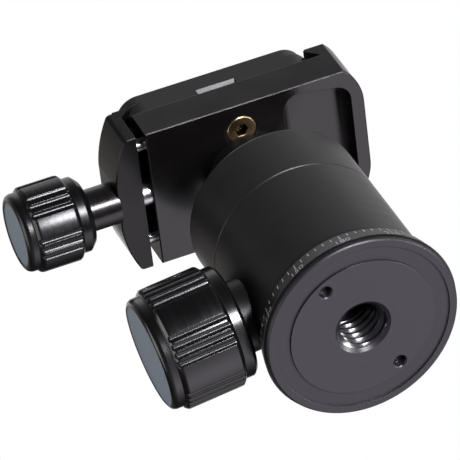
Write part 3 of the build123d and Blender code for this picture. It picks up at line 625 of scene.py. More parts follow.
@dataclass(frozen=True)
class Moulded:
    """Plastic, rubber or paint: a matt body with a fine moulded grain, in millimetres."""

    colour: tuple[float, float, float]
    roughness: float = 0.5
    specular: float = 0.4
    grain_size: float = 0.2
    grain_depth: float = 0.01
    marks: float = 0.5
    mark_roughness: float = 0.08
    variation: float = 0.1

    def make(self, name: str, effects: SurfaceEffects) -> bpy.types.Material:
        """Builds the material.

        Args:
            name: the material's name.
            effects: the shared node groups.

        Returns:
            The material, with its colour, roughness and normal driven by nodes.
        """
        material, n = new_material(name)
        grain = n.group(effects.grain, Size=self.grain_size * MM)
        marks = n.group(effects.handled, Amount=self.marks)["Marks"]
        dark, light = rgba(self.colour, 1 - self.variation), rgba(self.colour, 1 + self.variation)
        colour = n.mix(n.remap(grain["Cloud"], NOISE_SPAN, 0.0, 1.0), dark, light)
        rough = n.math("ADD", self.roughness, n.math("MULTIPLY", marks, self.mark_roughness))
        shader = n.surface(colour, rough, n.math("MULTIPLY", grain["Grain"], self.grain_depth))
        shader.inputs["Specular IOR Level"].default_value = self.specular
        return material


DISC_DYE = (0.013, 0.012, 0.0155)
KNOB_DYE = (0.0040, 0.0037, 0.0040)
KNOB_SKIN = {"line_depth": 0.001, "grain_depth": 0.003, "edge_radius": 0.0}

FINISHES: dict[Finish, Anodised | BareMetal | Moulded] = {
    Finish.DISC_BLACK: Anodised(DISC_DYE, 0.38, axle=PAN_AXLE, line_depth=0.02),
    Finish.SOCKET_BLACK: Anodised(DISC_DYE, 0.30, axle=PAN_AXLE, line_depth=0.016),
    Finish.THREAD_BLACK: Anodised((0.010, 0.010, 0.012), 0.17, 0.8, grain_depth=0.002, edge_radius=0.0),
    Finish.HOUSING_BLACK: Anodised(axle=PAN_AXLE, line_depth=0.004),
    Finish.COLLAR_BLACK: Anodised(axle=PAN_AXLE, line_depth=0.004),
    Finish.BALL_BLACK: Anodised((0.006, 0.006, 0.007), 0.62, 0.12, axle=PAN_AXLE, line_depth=0.002),
    Finish.CLAMP_BLACK: Anodised((0.0040, 0.0035, 0.0035), 0.20, grain_depth=0.004),
    Finish.JAW_BLACK: Anodised((0.0040, 0.0035, 0.0033), 0.24, 0.26, grain_depth=0.004),
    Finish.SLEEVE_BLACK: Anodised((0.008, 0.007, 0.007), 0.22, axle=CLAMP_AXLE, line_depth=0.005),
    Finish.PLATE_BLACK: Anodised(roughness=0.40),
    Finish.LOCK_KNOB_BLACK: Anodised(KNOB_DYE, 0.22, 0.6, axle=LOCK_AXLE, **KNOB_SKIN),
    Finish.CLAMP_KNOB_BLACK: Anodised(KNOB_DYE, 0.27, 0.45, axle=CLAMP_AXLE, **KNOB_SKIN),
    Finish.INSERT_GREY: Moulded((0.185, 0.225, 0.275), 0.42, variation=0.04),
    Finish.BEARING_POLYMER: Moulded((0.72, 0.70, 0.64), 0.35),
    Finish.BARE_ALUMINIUM: BareMetal((0.50, 0.50, 0.53), 0.42),
    Finish.STEEL: BareMetal((0.62, 0.62, 0.63), 0.22),
    # The brass plug's hex socket gets painted shade above 55.4 mm.
    Finish.BRASS: BareMetal((0.70, 0.50, 0.26), 0.24, axle=PLUG_AXLE, black_above=55.4),
    Finish.PAD_RUBBER: Moulded((0.018, 0.018, 0.019), 0.75, 0.25, grain_size=0.3, grain_depth=0.04),
    Finish.SCALE_WHITE: Moulded((0.40, 0.40, 0.415), 0.6, 0.2, grain_size=0.08, grain_depth=0.004),
}


class Finisher:
    """Makes each finish once, and puts it on pieces and on the frame's own nodes."""

    def __init__(self) -> None:
        """Builds the shared effects."""
        self.effects = SurfaceEffects()
        self.made: dict[Finish, bpy.types.Material] = {}

    def material(self, finish: Finish) -> bpy.types.Material:
        """Finds a finish's material, which is made when it is first asked for.

        Args:
            finish: the finish.

        Returns:
            The material.
        """
        if finish not in self.made:
            self.made[finish] = FINISHES[finish].make(finish.value, self.effects)
        return self.made[finish]

    def dress(self, piece: bpy.types.Object, finish: Finish) -> None:
        """Gives a piece one finish on all its faces.

        Args:
            piece: a new piece, or a node of the frame.
            finish: its finish.
        """
        if piece.material_slots:
            for slot in piece.material_slots:
                slot.material = self.material(finish)
        else:
            piece.data.materials.append(self.material(finish))


# Sub-assemblies


@dataclass
class GripKnob:
    """A knob with a collar, a grip with groups of grooves, and a rim round a sunk insert."""

    node: str
    axle: Axle
    start: float
    collar_l: float
    grip_l: float
    length: float
    grip_r: float
    collar_r: float
    collar_chamfer: float
    rim_r: float
    insert_r: float
    bore_r: float
    cover: float
    grooves: int
    groove_step: float
    groove_phase: float
    groups: int = 6
    groove_r: float = 0.65
    groove_out: float = 0.25
    groove_reach: float = 0.78
    groove_points: int = 25
    wall_slope: float = 4.0
    land_step: float = 2.5
    land_gap: float = 1.15
    edge: float = 0.6
    shoulder: float = 0.1
    insert_t: float = 0.8
    ridge_round: float = 0.3
    sharp_deg: float = 60.0

    def profile(self) -> np.ndarray:
        """Traces the knob's outline, from the bore's end round to the recess's floor.

        The last number of each corner is how far its rounding reaches. The rim has two bevels,
        which are shares of the edge.

        Returns:
            Points as (station, radius).
        """
        s, e = self.start, self.edge
        collar_end, grip_end, end = s + self.collar_l, s + self.grip_l, s + self.length
        return rounded_line([
            (end - self.cover, POLE_R, 0),
            (end - self.cover, self.bore_r, 0),
            (s, self.bore_r, 0.1),
            (s, self.collar_r - self.collar_chamfer, 0.15),
            (s + self.collar_chamfer, self.collar_r, 0.15),
            (collar_end, self.collar_r, 0.15),
            (collar_end + self.shoulder, self.grip_r - e, 0.2),
            (collar_end + e, self.grip_r, 0.3),
            (grip_end - e, self.grip_r, 0.3),
            (grip_end, self.grip_r - e, 0.2),
            (grip_end + self.shoulder, self.rim_r, 0.15),
            (end - e * 1.6, self.rim_r, 0.2),
            (end - e * 0.5, self.rim_r - e * 0.5, 0.25),
            (end, self.rim_r - e * 1.5, 0.15),
            (end, self.insert_r, 0.05),
            (end - self.insert_t, self.insert_r, 0.05),
            (end - self.insert_t, POLE_R, 0),
        ])

    def angles(self) -> tuple[np.ndarray, np.ndarray]:
        """Sets out the directions round the knob: close together in the grooves, wide between.

        Returns:
            All the directions in order, and the grooves' own directions.
        """
        place = np.arange(self.grooves) - (self.grooves - 1) / 2
        group = math.radians(self.groove_phase) + np.arange(self.groups) * FULL_TURN / self.groups
        centres = (group[:, None] + place * math.radians(self.groove_step)).ravel()
        reach = self.groove_reach / self.grip_r
        near = (centres[:, None] + np.linspace(-reach, reach, self.groove_points)).ravel()
        land = np.arange(0, FULL_TURN, math.radians(self.land_step))
        clear = turn_to_nearest(land, centres) > reach * self.land_gap
        return np.unique(np.round(np.concatenate([near, land[clear]]) % FULL_TURN, 7)), centres

    def shape(self) -> bpy.types.Object:
        """Builds the knob.

        A groove is a round channel whose axis lies just outside the grip. At an angle d from its
        middle its floor is at radius R cos d - sqrt(g squared - (R sin d) squared), with R the
        channel's own distance from the axis and g its radius. The grip is the softened minimum of
        its own radius and that floor, which climbs steeply outside the channel.

        Returns:
            The knob's object.
        """
        line = self.profile()
        angle, centres = self.angles()
        off = turn_to_nearest(angle, centres)
        far = self.grip_r + self.groove_out
        side = far * np.sin(off)
        inside = np.clip(self.groove_r**2 - side**2, 0, None)
        wall = self.wall_slope * np.clip(side - self.groove_r, 0, None)
        floor = far * np.cos(off) - np.sqrt(inside) + wall
        station, radius = line[:, 0][:, None], line[:, 1][:, None]
        # The grip's own rings, with those of its shoulders.
        low, high = self.start + self.collar_l, self.start + self.grip_l
        on_grip = (station > low - 0.05) & (station < high + 0.12) & (radius > self.collar_r - 1)
        grooved = soft_minimum(radius + 0 * floor, floor + 0 * radius, self.ridge_round)
        grid = self.axle.place(np.where(on_grip, grooved, radius), -angle, station)
        return closed_piece(self.node + "_turned", grid, sharp_deg=self.sharp_deg)

    def build(self, finisher: Finisher, finish: Finish, body: str, slot: str) -> bpy.types.Object:
        """Builds, dresses and hangs the knob on its body, in place of its plain node.

        Args:
            finisher: the maker of materials.
            finish: its finish.
            body: the body that the knob rides on.
            slot: the record's slot that the finish belongs to; not used.

        Returns:
            The knob's object.
        """
        piece = self.shape()
        finisher.dress(piece, finish)
        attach(piece, body)
        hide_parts(self.node)
        return piece


LOCK_KNOB = GripKnob(
    node="lock_knob", axle=LOCK_AXLE, start=18.65, collar_l=2.5, grip_l=14.45, length=16.85, grip_r=11.6,
    collar_r=10.65, collar_chamfer=0.6, rim_r=10.7, insert_r=9.6, bore_r=3.0, cover=4.0,
    grooves=4, groove_step=8.15, groove_phase=-33.1,
)
CLAMP_KNOB = GripKnob(
    node="clamp_knob", axle=CLAMP_AXLE, start=31.2, collar_l=2.8, grip_l=11.55, length=13.7, grip_r=8.2,
    collar_r=7.2, collar_chamfer=1.1, rim_r=7.5, insert_r=6.0, bore_r=2.5, cover=3.0,
    grooves=3, groove_step=12.0, groove_phase=-3.4,
)


@dataclass
class SocketThread:
    """The ridge of the tripod socket's thread, wound inside its bore.

    The half widths of its root and its crest are shares of the pitch. At its two ends the ridge
    is as low as end_depth and as narrow as end_width, both shares of the full size.
    """

    bore_r: float = 4.7625
    pitch: float = 1.5875
    depth: float = 0.84
    root: float = 0.44
    crest: float = 0.1
    crest_round: float = 0.1
    buried: float = 0.05
    set_back: float = 0.02
    low: float = 0.55
    high: float = 9.1
    run_out: float = FULL_TURN / 3
    end_depth: float = 0.02
    end_width: float = 0.3
    steps: int = 56

    def shape(self) -> bpy.types.Object:
        """Builds the ridge.

        The section is a blunt 60 degree vee, pointing inwards. It is carried up a helix: its height
        at an angle a is the pitch times a over a full turn. It grows out of the wall over the first
        and last third of a turn.

        Returns:
            The ridge's object.
        """
        turns = (self.high - self.low) / self.pitch
        angle = np.linspace(0, turns * FULL_TURN, int(turns * self.steps))[:, None]
        root, crest = self.pitch * self.root, self.pitch * self.crest
        section = rounded_line([
            (-root, self.buried, 0), (-root, 0.0, 0), (-crest, self.depth, self.crest_round),
            (crest, self.depth, self.crest_round), (root, 0.0, 0), (root, self.buried, 0),
        ], 3)[::-1]
        grow = np.clip(np.minimum(angle, angle[-1] - angle) / self.run_out, self.end_depth, 1)
        radius = self.bore_r + self.set_back - section[:, 1] * grow
        climb = angle / FULL_TURN * self.pitch
        station = self.low + climb + section[:, 0] * np.maximum(grow, self.end_width)
        return closed_piece("socket_thread", PAN_AXLE.place(radius, angle, station))

    def build(self, finisher: Finisher) -> bpy.types.Object:
        """Builds the thread and lets it ride on the base.

        Args:
            finisher: the maker of materials.

        Returns:
            The ridge's object.
        """
        piece = self.shape()
        finisher.dress(piece, Finish.THREAD_BLACK)
        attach(piece, "base")
        return piece


@dataclass
class PanScale:
    """The printed degree scale on the housing's skirt: ticks, and a number at every long tick.

    The ink stands off the skirt by the lift, and its back is sunk into it.
    """

    low_r: float = 18.7
    low_z: float = 1.3
    high_r: float = 18.05
    high_z: float = 4.2
    lift: float = 0.025
    sunk: float = -0.03
    zero: float = -274.35
    small_step: int = 5
    number_step: int = 30
    tick_w: float = 0.17
    tick_low: float = 3.15
    tick_high: float = 4.1
    long_tick_low: float = 2.75
    number_low: float = 1.38
    number_h: float = 1.18
    number_spread: float = 1.3
    capital_share: float = 0.72
    thinning: float = -0.025

    def on_band(self, angle: np.ndarray, height: np.ndarray, lift: np.ndarray) -> np.ndarray:
        """Points on the skirt's cone, whose radius falls evenly with height, raised off it by a lift.

        Args:
            angle: angle about the pan axis.
            height: height above the bottom disc's face.
            lift: distance out from the cone.

        Returns:
            An array with one more dimension, in millimetres.
        """
        share = (height - self.low_z) / (self.high_z - self.low_z)
        radius = self.low_r + (self.high_r - self.low_r) * share
        return PAN_AXLE.place(radius + lift, angle, height)

    def ticks(self) -> bpy.types.Object:
        """Builds all the ticks as one mesh of thin blocks.

        A block's eight corners are half the tick's width to either side of its angle, at its lower
        and upper height, and in and out by the ink's depth.

        Returns:
            The ticks' object.
        """
        value = np.arange(0, 360, self.small_step)
        angle = np.radians(value + self.zero)[:, None]
        long = (value % self.number_step == 0)[:, None]
        half = self.tick_w / 2 / self.high_r
        side = np.array([-1, 1, 1, -1, -1, 1, 1, -1]) * half
        up = np.array([0, 0, 1, 1, 0, 0, 1, 1])
        lift = np.array([self.sunk] * 4 + [self.lift] * 4)
        low = np.where(long, self.long_tick_low, self.tick_low)
        height = low + (self.tick_high - low) * up
        points = self.on_band(angle + side, height, lift + 0 * height).reshape(-1, 3)
        block = np.array([
            [3, 2, 1, 0], [4, 5, 6, 7], [0, 1, 5, 4], [1, 2, 6, 5], [2, 3, 7, 6], [3, 0, 4, 7],
        ])
        faces = (block[None] + 8 * np.arange(len(value))[:, None, None]).reshape(-1, 4)
        return mesh_piece("scale_ticks", points, faces.tolist())

    def number(self, value: int) -> tuple[np.ndarray, list[list[int]]]:
        """One number, bent onto the skirt: its x becomes an angle, its y a height, its z a lift.

        Args:
            value: the number, in degrees.

        Returns:
            Points in millimetres, and lists of corner numbers.
        """
        text = bpy.data.curves.new(f"number_{value}", "FONT")
        text.body = str(value)
        text.size = self.number_h / self.capital_share
        text.align_x = "CENTER"
        # Any depth will do here, as it only tells the front from the back.
        text.extrude = 0.5
        text.offset = self.thinning
        text.resolution_u = 3
        holder = bpy.data.objects.new(text.name, text)
        bpy.context.scene.collection.objects.link(holder)
        drawn = holder.evaluated_get(bpy.context.evaluated_depsgraph_get())
        mesh = bpy.data.meshes.new_from_object(drawn)
        flat = np.zeros(len(mesh.vertices) * 3)
        mesh.vertices.foreach_get("co", flat)
        x, y, z = flat.reshape(-1, 3).T
        faces = [list(face.vertices) for face in mesh.polygons]
        bpy.data.objects.remove(holder)
        angle = math.radians(value + self.zero) + x * self.number_spread / self.low_r
        return self.on_band(angle, self.number_low + y, np.where(z > 0, self.lift, self.sunk)), faces

    def numbers(self) -> bpy.types.Object:
        """Builds all the numbers as one mesh.

        Returns:
            The numbers' object.
        """
        points, faces, count = [], [], 0
        for value in range(0, 360, self.number_step):
            own_points, own_faces = self.number(value)
            points.append(own_points)
            faces += [[corner + count for corner in face] for face in own_faces]
            count += len(own_points)
        return mesh_piece("scale_numbers", np.concatenate(points), faces)

    def build(self, finisher: Finisher) -> list[bpy.types.Object]:
        """Prints the scale and lets it ride on the housing.

        Args:
            finisher: the maker of materials.

        Returns:
            The ticks and the numbers.
        """
        made = [self.ticks(), self.numbers()]
        for piece in made:
            finisher.dress(piece, Finish.SCALE_WHITE)
            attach(piece, "housing")
        return made


@dataclass
class CameraScrew:
    """The screw that holds the camera: a slotted head, a neck and a quarter inch thread."""

    head_r: float = 5.4
    head_low: float = 63.2
    head_high: float = 65.0
    slot_w: float = 1.2
    slot_depth: float = 1.0
    edge: float = 0.15
    neck_r: float = 2.6
    thread_low: float = 68.2
    thread_high: float = 72.8
    thread_r: float = 3.175
    pitch: float = 1.27
    thread_depth: float = 0.62
    flank: float = 2.6
    crest: float = 0.15
    tip_depth: float = 0.45
    tip_l: float = 0.5
    run_in: float = 0.5
    ring_gap: float = 0.01
    rings_a_pitch: int = 18
    steps: int = 72
    cheek_points: int = 40
    overlap: float = 0.02

    def stem(self) -> np.ndarray:
        """Rings of points for all but the slotted underside of the head.

        On the thread the radius is the major radius less the depth times a blunt triangle wave of
        (height over pitch minus angle over a full turn), which fades out over the last half pitch
        at either end. The tip is tapered: the cut there is at least the tip's depth, times how far
        up the tip the ring lies.

        Returns:
            Rings by points by coordinates.
        """
        low = self.head_low + self.slot_depth
        plain = rounded_line([
            (low, POLE_R, 0), (low, self.head_r, 0), (self.head_high, self.head_r, 0.25),
            (self.head_high, self.neck_r, 0.2), (self.thread_low, self.neck_r, 0.05),
        ])
        count = int((self.thread_high - self.thread_low) / self.pitch * self.rings_a_pitch)
        height = np.linspace(self.thread_low + self.ring_gap, self.thread_high - self.ring_gap, count)
        outer = np.stack([height, np.full(count, self.thread_r)], 1)
        line = np.concatenate([plain, outer, [(self.thread_high, POLE_R)]])
        angle = np.linspace(0, FULL_TURN, self.steps, endpoint=False)
        station, radius = line[:, 0][:, None], line[:, 1][:, None]
        turn = (station / self.pitch - angle / FULL_TURN) % 1
        wave = np.clip(np.abs(turn - 0.5) * self.flank - self.crest, 0, 1)
        end = np.minimum(station - self.thread_low, self.thread_high - station)
        fade = np.clip(end / (self.pitch * self.run_in), 0.25, 1)
        tip = self.tip_depth * np.clip(1 - (self.thread_high - station) / self.tip_l, 0, 1)
        cut = np.maximum(self.thread_depth * wave * fade, tip)
        on_thread = (station > self.thread_low) & (radius > self.neck_r)
        return CAMERA_AXLE.place(np.where(on_thread, radius - cut, radius), angle, station)

    def cheek(self, side: int) -> np.ndarray:
        """Rings of points for the part of the head on one side of its slot.

        Each ring is the arc (r cos a, r sin a), whose y is nowhere less than half the slot's width.
        The lowest rings are drawn in by an inset, which rounds the edge.

        Args:
            side: 1 or -1, for the side towards +Y or -Y.

        Returns:
            Rings by points by coordinates.
        """
        half = self.slot_w / 2
        start = math.asin(half / self.head_r)
        angle = np.linspace(start, math.pi - start, self.cheek_points)
        top = self.slot_depth + self.overlap
        rows = []
        for rise, inset in ((0, self.edge), (self.edge * 0.3, self.edge * 0.3), (self.edge, 0), (top, 0)):
            radius = self.head_r - inset
            x, y = radius * np.cos(angle), radius * np.sin(angle)
            x[0], x[-1] = x[0] - inset * 0.2, x[-1] + inset * 0.2
            y = np.maximum(y, half + inset * 0.5)
            rows.append(np.stack([x * side, y * side, 0 * x + self.head_low + rise], 1))
        return np.stack(rows) + np.array(CAMERA_AXLE.origin)

    def build(self, finisher: Finisher) -> bpy.types.Object:
        """Builds the screw, in steel, in place of its plain node.

        Args:
            finisher: the maker of materials.

        Returns:
            The screw's object.
        """
        piece = closed_piece("camera_screw_threaded", self.stem(), self.cheek(1), self.cheek(-1))
        finisher.dress(piece, Finish.STEEL)
        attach(piece, "screw")
        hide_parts("camera_screw")
        return piece


@dataclass
class RubberPads:
    """The two ribbed rubber pads on the plate's top.

    The edge holds each upper ring's inset and its drop below the bed. The rib's end is a list of
    how far in from its end each section lies, and how large a share of the full section it is.
    """

    centre_x: float = PLATE_X
    inner: float = 4.2
    width: float = 12.0
    half_l: float = 13.0
    corner: float = 1.5
    gap: float = 0.02
    low: float = 66.95
    bed: float = 67.85
    high: float = 68.05
    edge: tuple[tuple[float, float], ...] = ((0, 0.12), (0.04, 0.04), (0.14, 0))
    rib_pitch: float = 1.04
    rib_w: float = 0.62
    rib_root: float = -0.05
    rib_end: tuple[tuple[float, float], ...] = ((0, 0.25), (0.06, 0.75), (0.2, 1.0))
    rib_power: float = 0.8
    rib_points: int = 9
    corner_points: int = 7
    margin: float = 0.55
    sharp_deg: float = 50.0

    def outline(self, inset: float) -> np.ndarray:
        """The pad's outline in plan: a quarter circle round each corner, joined by straight sides.

        Args:
            inset: how far the outline is drawn in.

        Returns:
            Points about the pad's middle, two numbers each.
        """
        turn = np.linspace(0, math.pi / 2, self.corner_points)
        radius = max(self.corner - inset, 0.3)
        x0, y0 = self.width / 2 - inset - radius, self.half_l - inset - radius
        arcs = []
        for quarter, (x, y) in enumerate(((x0, y0), (-x0, y0), (-x0, -y0), (x0, -y0))):
            way = turn + quarter * math.pi / 2
            arcs.append(np.stack([x + radius * np.cos(way), y + radius * np.sin(way)], 1))
        return np.concatenate(arcs)

    def bed_grid(self) -> np.ndarray:
        """The pad's body: its outline at one height above another, drawn in at the upper edge.

        Returns:
            Rings by points by coordinates.
        """
        rows = []
        for inset, height in ((0, self.low), *((inset, self.bed - drop) for inset, drop in self.edge)):
            plan = self.outline(inset + self.gap)
            rows.append(np.concatenate([plan, np.full((len(plan), 1), height)], 1))
        return np.stack(rows)

    def rib_grid(self, y: float) -> np.ndarray:
        """One rib: a section of (-w/2 cos a, h sin a to a power just under one), carried along x.

        Args:
            y: the rib's place along the pad.

        Returns:
            Rings by points by coordinates.
        """
        reach = self.width / 2 - self.margin
        along = np.array([step - reach for step, _ in self.rib_end])
        share = np.array([size for _, size in self.rib_end])
        x = np.concatenate([along, -along[::-1]])[:, None]
        swell = np.concatenate([share, share[::-1]])[:, None]
        turn = np.linspace(0, math.pi, self.rib_points)
        across = -np.cos(turn) * self.rib_w / 2
        rise = np.sin(turn) ** self.rib_power * (self.high - self.bed)
        across = np.append(across, across[[-1, 0]]) * swell
        rise = np.append(rise, [self.rib_root] * 2) * swell
        return np.stack([x + 0 * rise, y + across, self.bed + rise], -1)

    def build(self, finisher: Finisher) -> bpy.types.Object:
        """Builds both pads in place of their plain node.

        Args:
            finisher: the maker of materials.

        Returns:
            The pads' object.
        """
        count = int((self.half_l - self.margin - self.rib_w / 2) / self.rib_pitch)
        ribs = [self.rib_grid(k * self.rib_pitch) for k in range(-count, count + 1)]
        grids = []
        for side in (-1, 1):
            shift = np.array([self.centre_x + side * (self.inner + self.width / 2), 0, 0])
            grids += [grid + shift for grid in (self.bed_grid(), *ribs)]
        piece = closed_piece("plate_pads_ribbed", *grids, sharp_deg=self.sharp_deg)
        finisher.dress(piece, Finish.PAD_RUBBER)
        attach(piece, "plate")
        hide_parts("plate_pads")
        return piece


@dataclass(frozen=True)
class SafetySpring:
    """The coil under the safety pin, which shortens as the pin is pressed down."""

    axle: Axle = PLUG_AXLE
    seat: float = 57.38
    rise: float = 0.05
    length: float = 2.3
    coil_r: float = 1.9
    wire_r: float = 0.25
    turns: int = 2
    sections_a_turn: int = 48
    section_points: int = 16
    pressed: float = 0.5

    def shape(self) -> bpy.types.Object:
        """Builds the coil.

        Its wire's middle is at (R cos t, R sin t, z), where z climbs evenly with t, and its skin is
        that plus w cos a outwards and w sin a upwards.

        Returns:
            The coil's object.
        """
        turn = np.linspace(0, FULL_TURN * self.turns, self.sections_a_turn * self.turns + 1)[:, None]
        round_wire = np.linspace(0, FULL_TURN, self.section_points, endpoint=False)
        climb = (self.length - 2 * self.wire_r) * turn / turn[-1]
        radius = self.coil_r + self.wire_r * np.cos(round_wire)
        height = self.seat + self.rise + self.wire_r + climb + self.wire_r * np.sin(round_wire)
        return closed_piece("safety_spring_coil", self.axle.place(radius, turn, height))

    def build(self, finisher: Finisher) -> bpy.types.Object:
        """Builds and dresses the spring, and lets it ride on the clamp with its own copy of the mesh.

        Args:
            finisher: the maker of materials.

        Returns:
            The coil's object.
        """
        piece = self.shape()
        finisher.dress(piece, Finish.STEEL)
        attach(piece, "clamp")
        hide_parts("safety_spring")
        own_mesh(piece)
        return piece


# The studio


@dataclass(frozen=True)
class SoftBox:
    """A square lamp that shines at the head's middle.

    Its direction from there is given as the photographer would: right, up and towards the camera.
    """

    name: str
    direction: tuple[float, float, float]
    distance: float
    size: float
    power: float
    colour: tuple[float, float, float] = (1.0, 1.0, 1.0)


@dataclass(frozen=True)
class Glow:
    """A soft patch of light on the surroundings, in the same directions as the lamps'.

    Its brightness is colour * exp(focus * (cosine to its direction - 1)).
    """

    name: str
    direction: tuple[float, float, float]
    colour: tuple[float, float, float]
    focus: float = 9.0


@dataclass
class Studio:
    """Camera, floor, world and lamps. Lengths here are metres."""

    camera_place: tuple[float, float, float] = (-0.252475, -0.581120, -0.715417)
    camera_aim: tuple[float, float, float] = (-0.016570, -0.016280, 0.017870)
    camera_up: tuple[float, float, float] = (0.30211, -0.79972, 0.51882)
    lens: float = 420.9
    sensor: float = 36.0
    floor_size: float = 3.0
    floor_drop: float = 0.0002
    floor_shades: tuple[float, float] = (0.80, 0.84)
    floor_grain: float = 60.0
    floor_glow: float = 0.45
    fade: tuple[float, float] = (0.12, 0.38)
    middle: tuple[float, float, float] = (-0.008, 0.0, 0.036)
    dim: tuple[float, float, float] = (0.02, 0.018, 0.017)
    glows: tuple[Glow, ...] = (
        Glow("white_table", (0.55, -0.80, 0.18), (1.45, 1.38, 1.52)),
        Glow("right_wall", (0.96, -0.15, 0.21), (0.50, 0.49, 0.52)),
        Glow("front_right", (0.62, -0.35, 0.68), (0.45, 0.44, 0.45)),
        Glow("upper_right", (0.81, 0.30, 0.50), (0.40, 0.39, 0.40)),
        Glow("ceiling_front", (0.45, 0.78, -0.30), (0.26, 0.25, 0.26)),
        Glow("ceiling_back", (-0.30, 0.75, -0.60), (0.48, 0.47, 0.50)),
        Glow("left_wall", (-0.62, 0.12, -0.78), (0.34, 0.32, 0.31)),
        Glow("low_left", (-0.38, -0.74, 0.56), (0.14, 0.13, 0.13)),
    )
    backdrop: tuple[float, float] = (0.965, 0.985)
    lamps: tuple[SoftBox, ...] = (
        SoftBox("front_box", (0.44, 0.22, 0.87), 0.6, 0.16, 5.0, (0.95, 0.94, 1.0)),
        SoftBox("side_box", (0.95, -0.05, 0.30), 0.6, 0.20, 2.6, (0.97, 0.97, 1.0)),
        SoftBox("left_fill", (-0.92, -0.28, 0.27), 0.6, 0.50, 2.2, (1.0, 0.99, 0.98)),
        SoftBox("top_fill", (0.04, 0.40, -0.91), 0.8, 1.20, 2.4),
    )

    def view_turn(self) -> Matrix:
        """Finds the camera's turn.

        Returns:
            A matrix whose columns are the camera's right, up and backward directions.
        """
        back = (Vector(self.camera_place) - Vector(self.camera_aim)).normalized()
        right = Vector(self.camera_up).cross(back).normalized()
        return Matrix((right, back.cross(right), back)).transposed()

    def camera(self) -> None:
        """Sets the camera where the photograph was taken from."""
        data = bpy.data.cameras.new("camera")
        data.lens, data.sensor_width = self.lens, self.sensor
        data.clip_start, data.clip_end = 0.01, 20.0
        camera = bpy.data.objects.new("camera", data)
        camera.matrix_world = Matrix.Translation(Vector(self.camera_place)) @ self.view_turn().to_4x4()
        bpy.context.scene.collection.objects.link(camera)
        bpy.context.scene.camera = camera

    def paper(self) -> bpy.types.Material:
        """Makes the floor's pale paper, which fades to white further out.

        It shows from above alone, and to the camera alone, so that it doesn't stand in reflections.

        Returns:
            The material.
        """
        material, n = new_material("pale_floor")
        n.tree.nodes.remove(n.tree.nodes["Principled BSDF"])
        grain = n.add("TexNoise", {"Scale": self.floor_grain, "Detail": 3.0}).outputs[0]
        shade = n.mix(grain, *(rgba((x, x, x)) for x in self.floor_shades))
        matt = n.add("BsdfDiffuse", {"Color": shade}).outputs[0]
        glow = n.add("Emission", {"Color": shade, "Strength": self.floor_glow}).outputs[0]
        near = n.add("AddShader", {0: matt, 1: glow}).outputs[0]
        far = n.add("Emission", {"Strength": 1.0}).outputs[0]
        away = n.ease(n.measure("LENGTH", n.place()), self.fade)
        paper = n.add("MixShader", {0: away, 1: near, 2: far}).outputs[0]
        above = n.math("SUBTRACT", 1.0, n.add("NewGeometry").outputs["Backfacing"])
        seen = n.math("MULTIPLY", n.add("LightPath").outputs["Is Camera Ray"], above)
        clear = n.add("BsdfTransparent").outputs[0]
        shown = n.add("MixShader", {0: seen, 1: clear, 2: paper}).outputs[0]
        n.give(n.tree.nodes["Material Output"].inputs["Surface"], shown)
        return material

    def floor(self) -> None:
        """Lays the floor."""
        half = self.floor_size / 2
        corners = ((-half, -half), (half, -half), (half, half), (-half, half))
        mesh = bpy.data.meshes.new("floor")
        mesh.from_pydata([(x, y, -self.floor_drop) for x, y in corners], [], [(0, 1, 2, 3)])
        mesh.materials.append(self.paper())
        floor = bpy.data.objects.new("floor", mesh)
        bpy.context.scene.collection.objects.link(floor)

    def world(self) -> None:
        """Sets the surroundings: soft patches of light on a dim room.

        The camera sees white instead, and so do reflections of the backdrop behind the head.
        """
        world = bpy.data.worlds.new("studio")
        world.use_nodes = True
        bpy.context.scene.world = world
        n = Nodes(world.node_tree)
        way = n.add("TexCoord").outputs["Generated"]
        turn = self.view_turn()
        room: object = self.dim
        for glow in self.glows:
            near = n.measure("DOT_PRODUCT", way, (turn @ Vector(glow.direction)).normalized())
            share = n.math("EXPONENT", n.math("MULTIPLY", n.math("SUBTRACT", near, 1.0), glow.focus))
            room = n.vector("ADD", room, n.scaled(glow.colour, share, glow.name))
        panel = n.ease(n.measure("DOT_PRODUCT", way, turn @ Vector((0, 0, -1))), self.backdrop)
        ray = n.add("LightPath").outputs
        mirrored = n.math("ADD", ray["Is Glossy Ray"], ray["Is Transmission Ray"])
        seen = n.math("ADD", ray["Is Camera Ray"], n.math("MULTIPLY", mirrored, panel), clamp=True)
        colour = n.mix(seen, room, (1, 1, 1, 1))
        n.give(n.tree.nodes["Background"].inputs["Color"], colour)

    def light(self) -> None:
        """Hangs the lamps."""
        for box in self.lamps:
            data = bpy.data.lights.new(box.name, "AREA")
            data.energy, data.size, data.color = box.power, box.size, box.colour
            lamp = bpy.data.objects.new(box.name, data)
            lamp.visible_camera = False
            back = (self.view_turn() @ Vector(box.direction)).normalized()
            place = Vector(self.middle) + back * box.distance
            turn = back.to_track_quat("Z", "Y").to_matrix().to_4x4()
            lamp.matrix_world = Matrix.Translation(place) @ turn
            bpy.context.scene.collection.objects.link(lamp)

    def build(self) -> None:
        """Sets the whole studio."""
        self.camera()
        self.floor()
        self.world()
        self.light()
        bpy.context.scene.view_settings.view_transform = "Standard"


def dress_nodes(finisher: Finisher) -> None:
    """Gives every node of the frame the finish that the record names for it.

    Args:
        finisher: the maker of materials.
    """
    special = {"lock_knob": Finish.LOCK_KNOB_BLACK, "clamp_knob": Finish.CLAMP_KNOB_BLACK}
    slots = {part["node"]: part["material_slot"] for part in frame["record"]["subparts"]}
    for name, node in frame["nodes"].items():
        finish = special.get(name) or Finish(slots[name])
        finisher.dress(node, finish)
        log.info("%s is finished in %s", name, finish.value)


def report(*pieces: bpy.types.Object) -> None:
    """Says what was built."""
    for piece in pieces:
        log.info("%s is built, with %d faces", piece.name, len(piece.data.polygons))


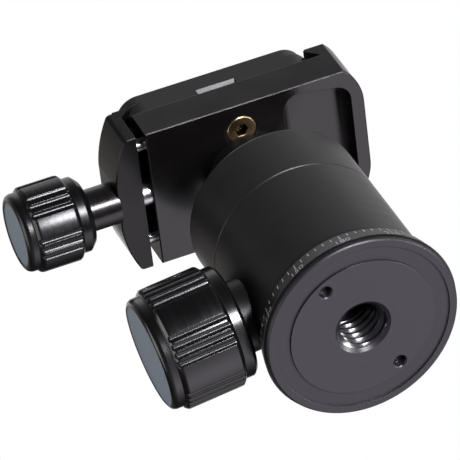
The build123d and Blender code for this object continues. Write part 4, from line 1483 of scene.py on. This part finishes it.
def main() -> None:
    """Builds the head's looks in order, from the tripod end to the camera end."""
    logging.basicConfig(level=logging.INFO, format="%(name)s: %(message)s")
    finisher = Finisher()
    dress_nodes(finisher)
    report(SocketThread().build(finisher))
    report(*PanScale().build(finisher))
    report(LOCK_KNOB.build(finisher, Finish.LOCK_KNOB_BLACK, "lock_handle", "knob_black"))
    report(CLAMP_KNOB.build(finisher, Finish.CLAMP_KNOB_BLACK, "clamp_handle", "knob_black"))
    report(SafetySpring().build(finisher))
    report(CameraScrew().build(finisher))
    report(RubberPads().build(finisher))
    Studio().build()


if __name__ == "__main__":
    main()
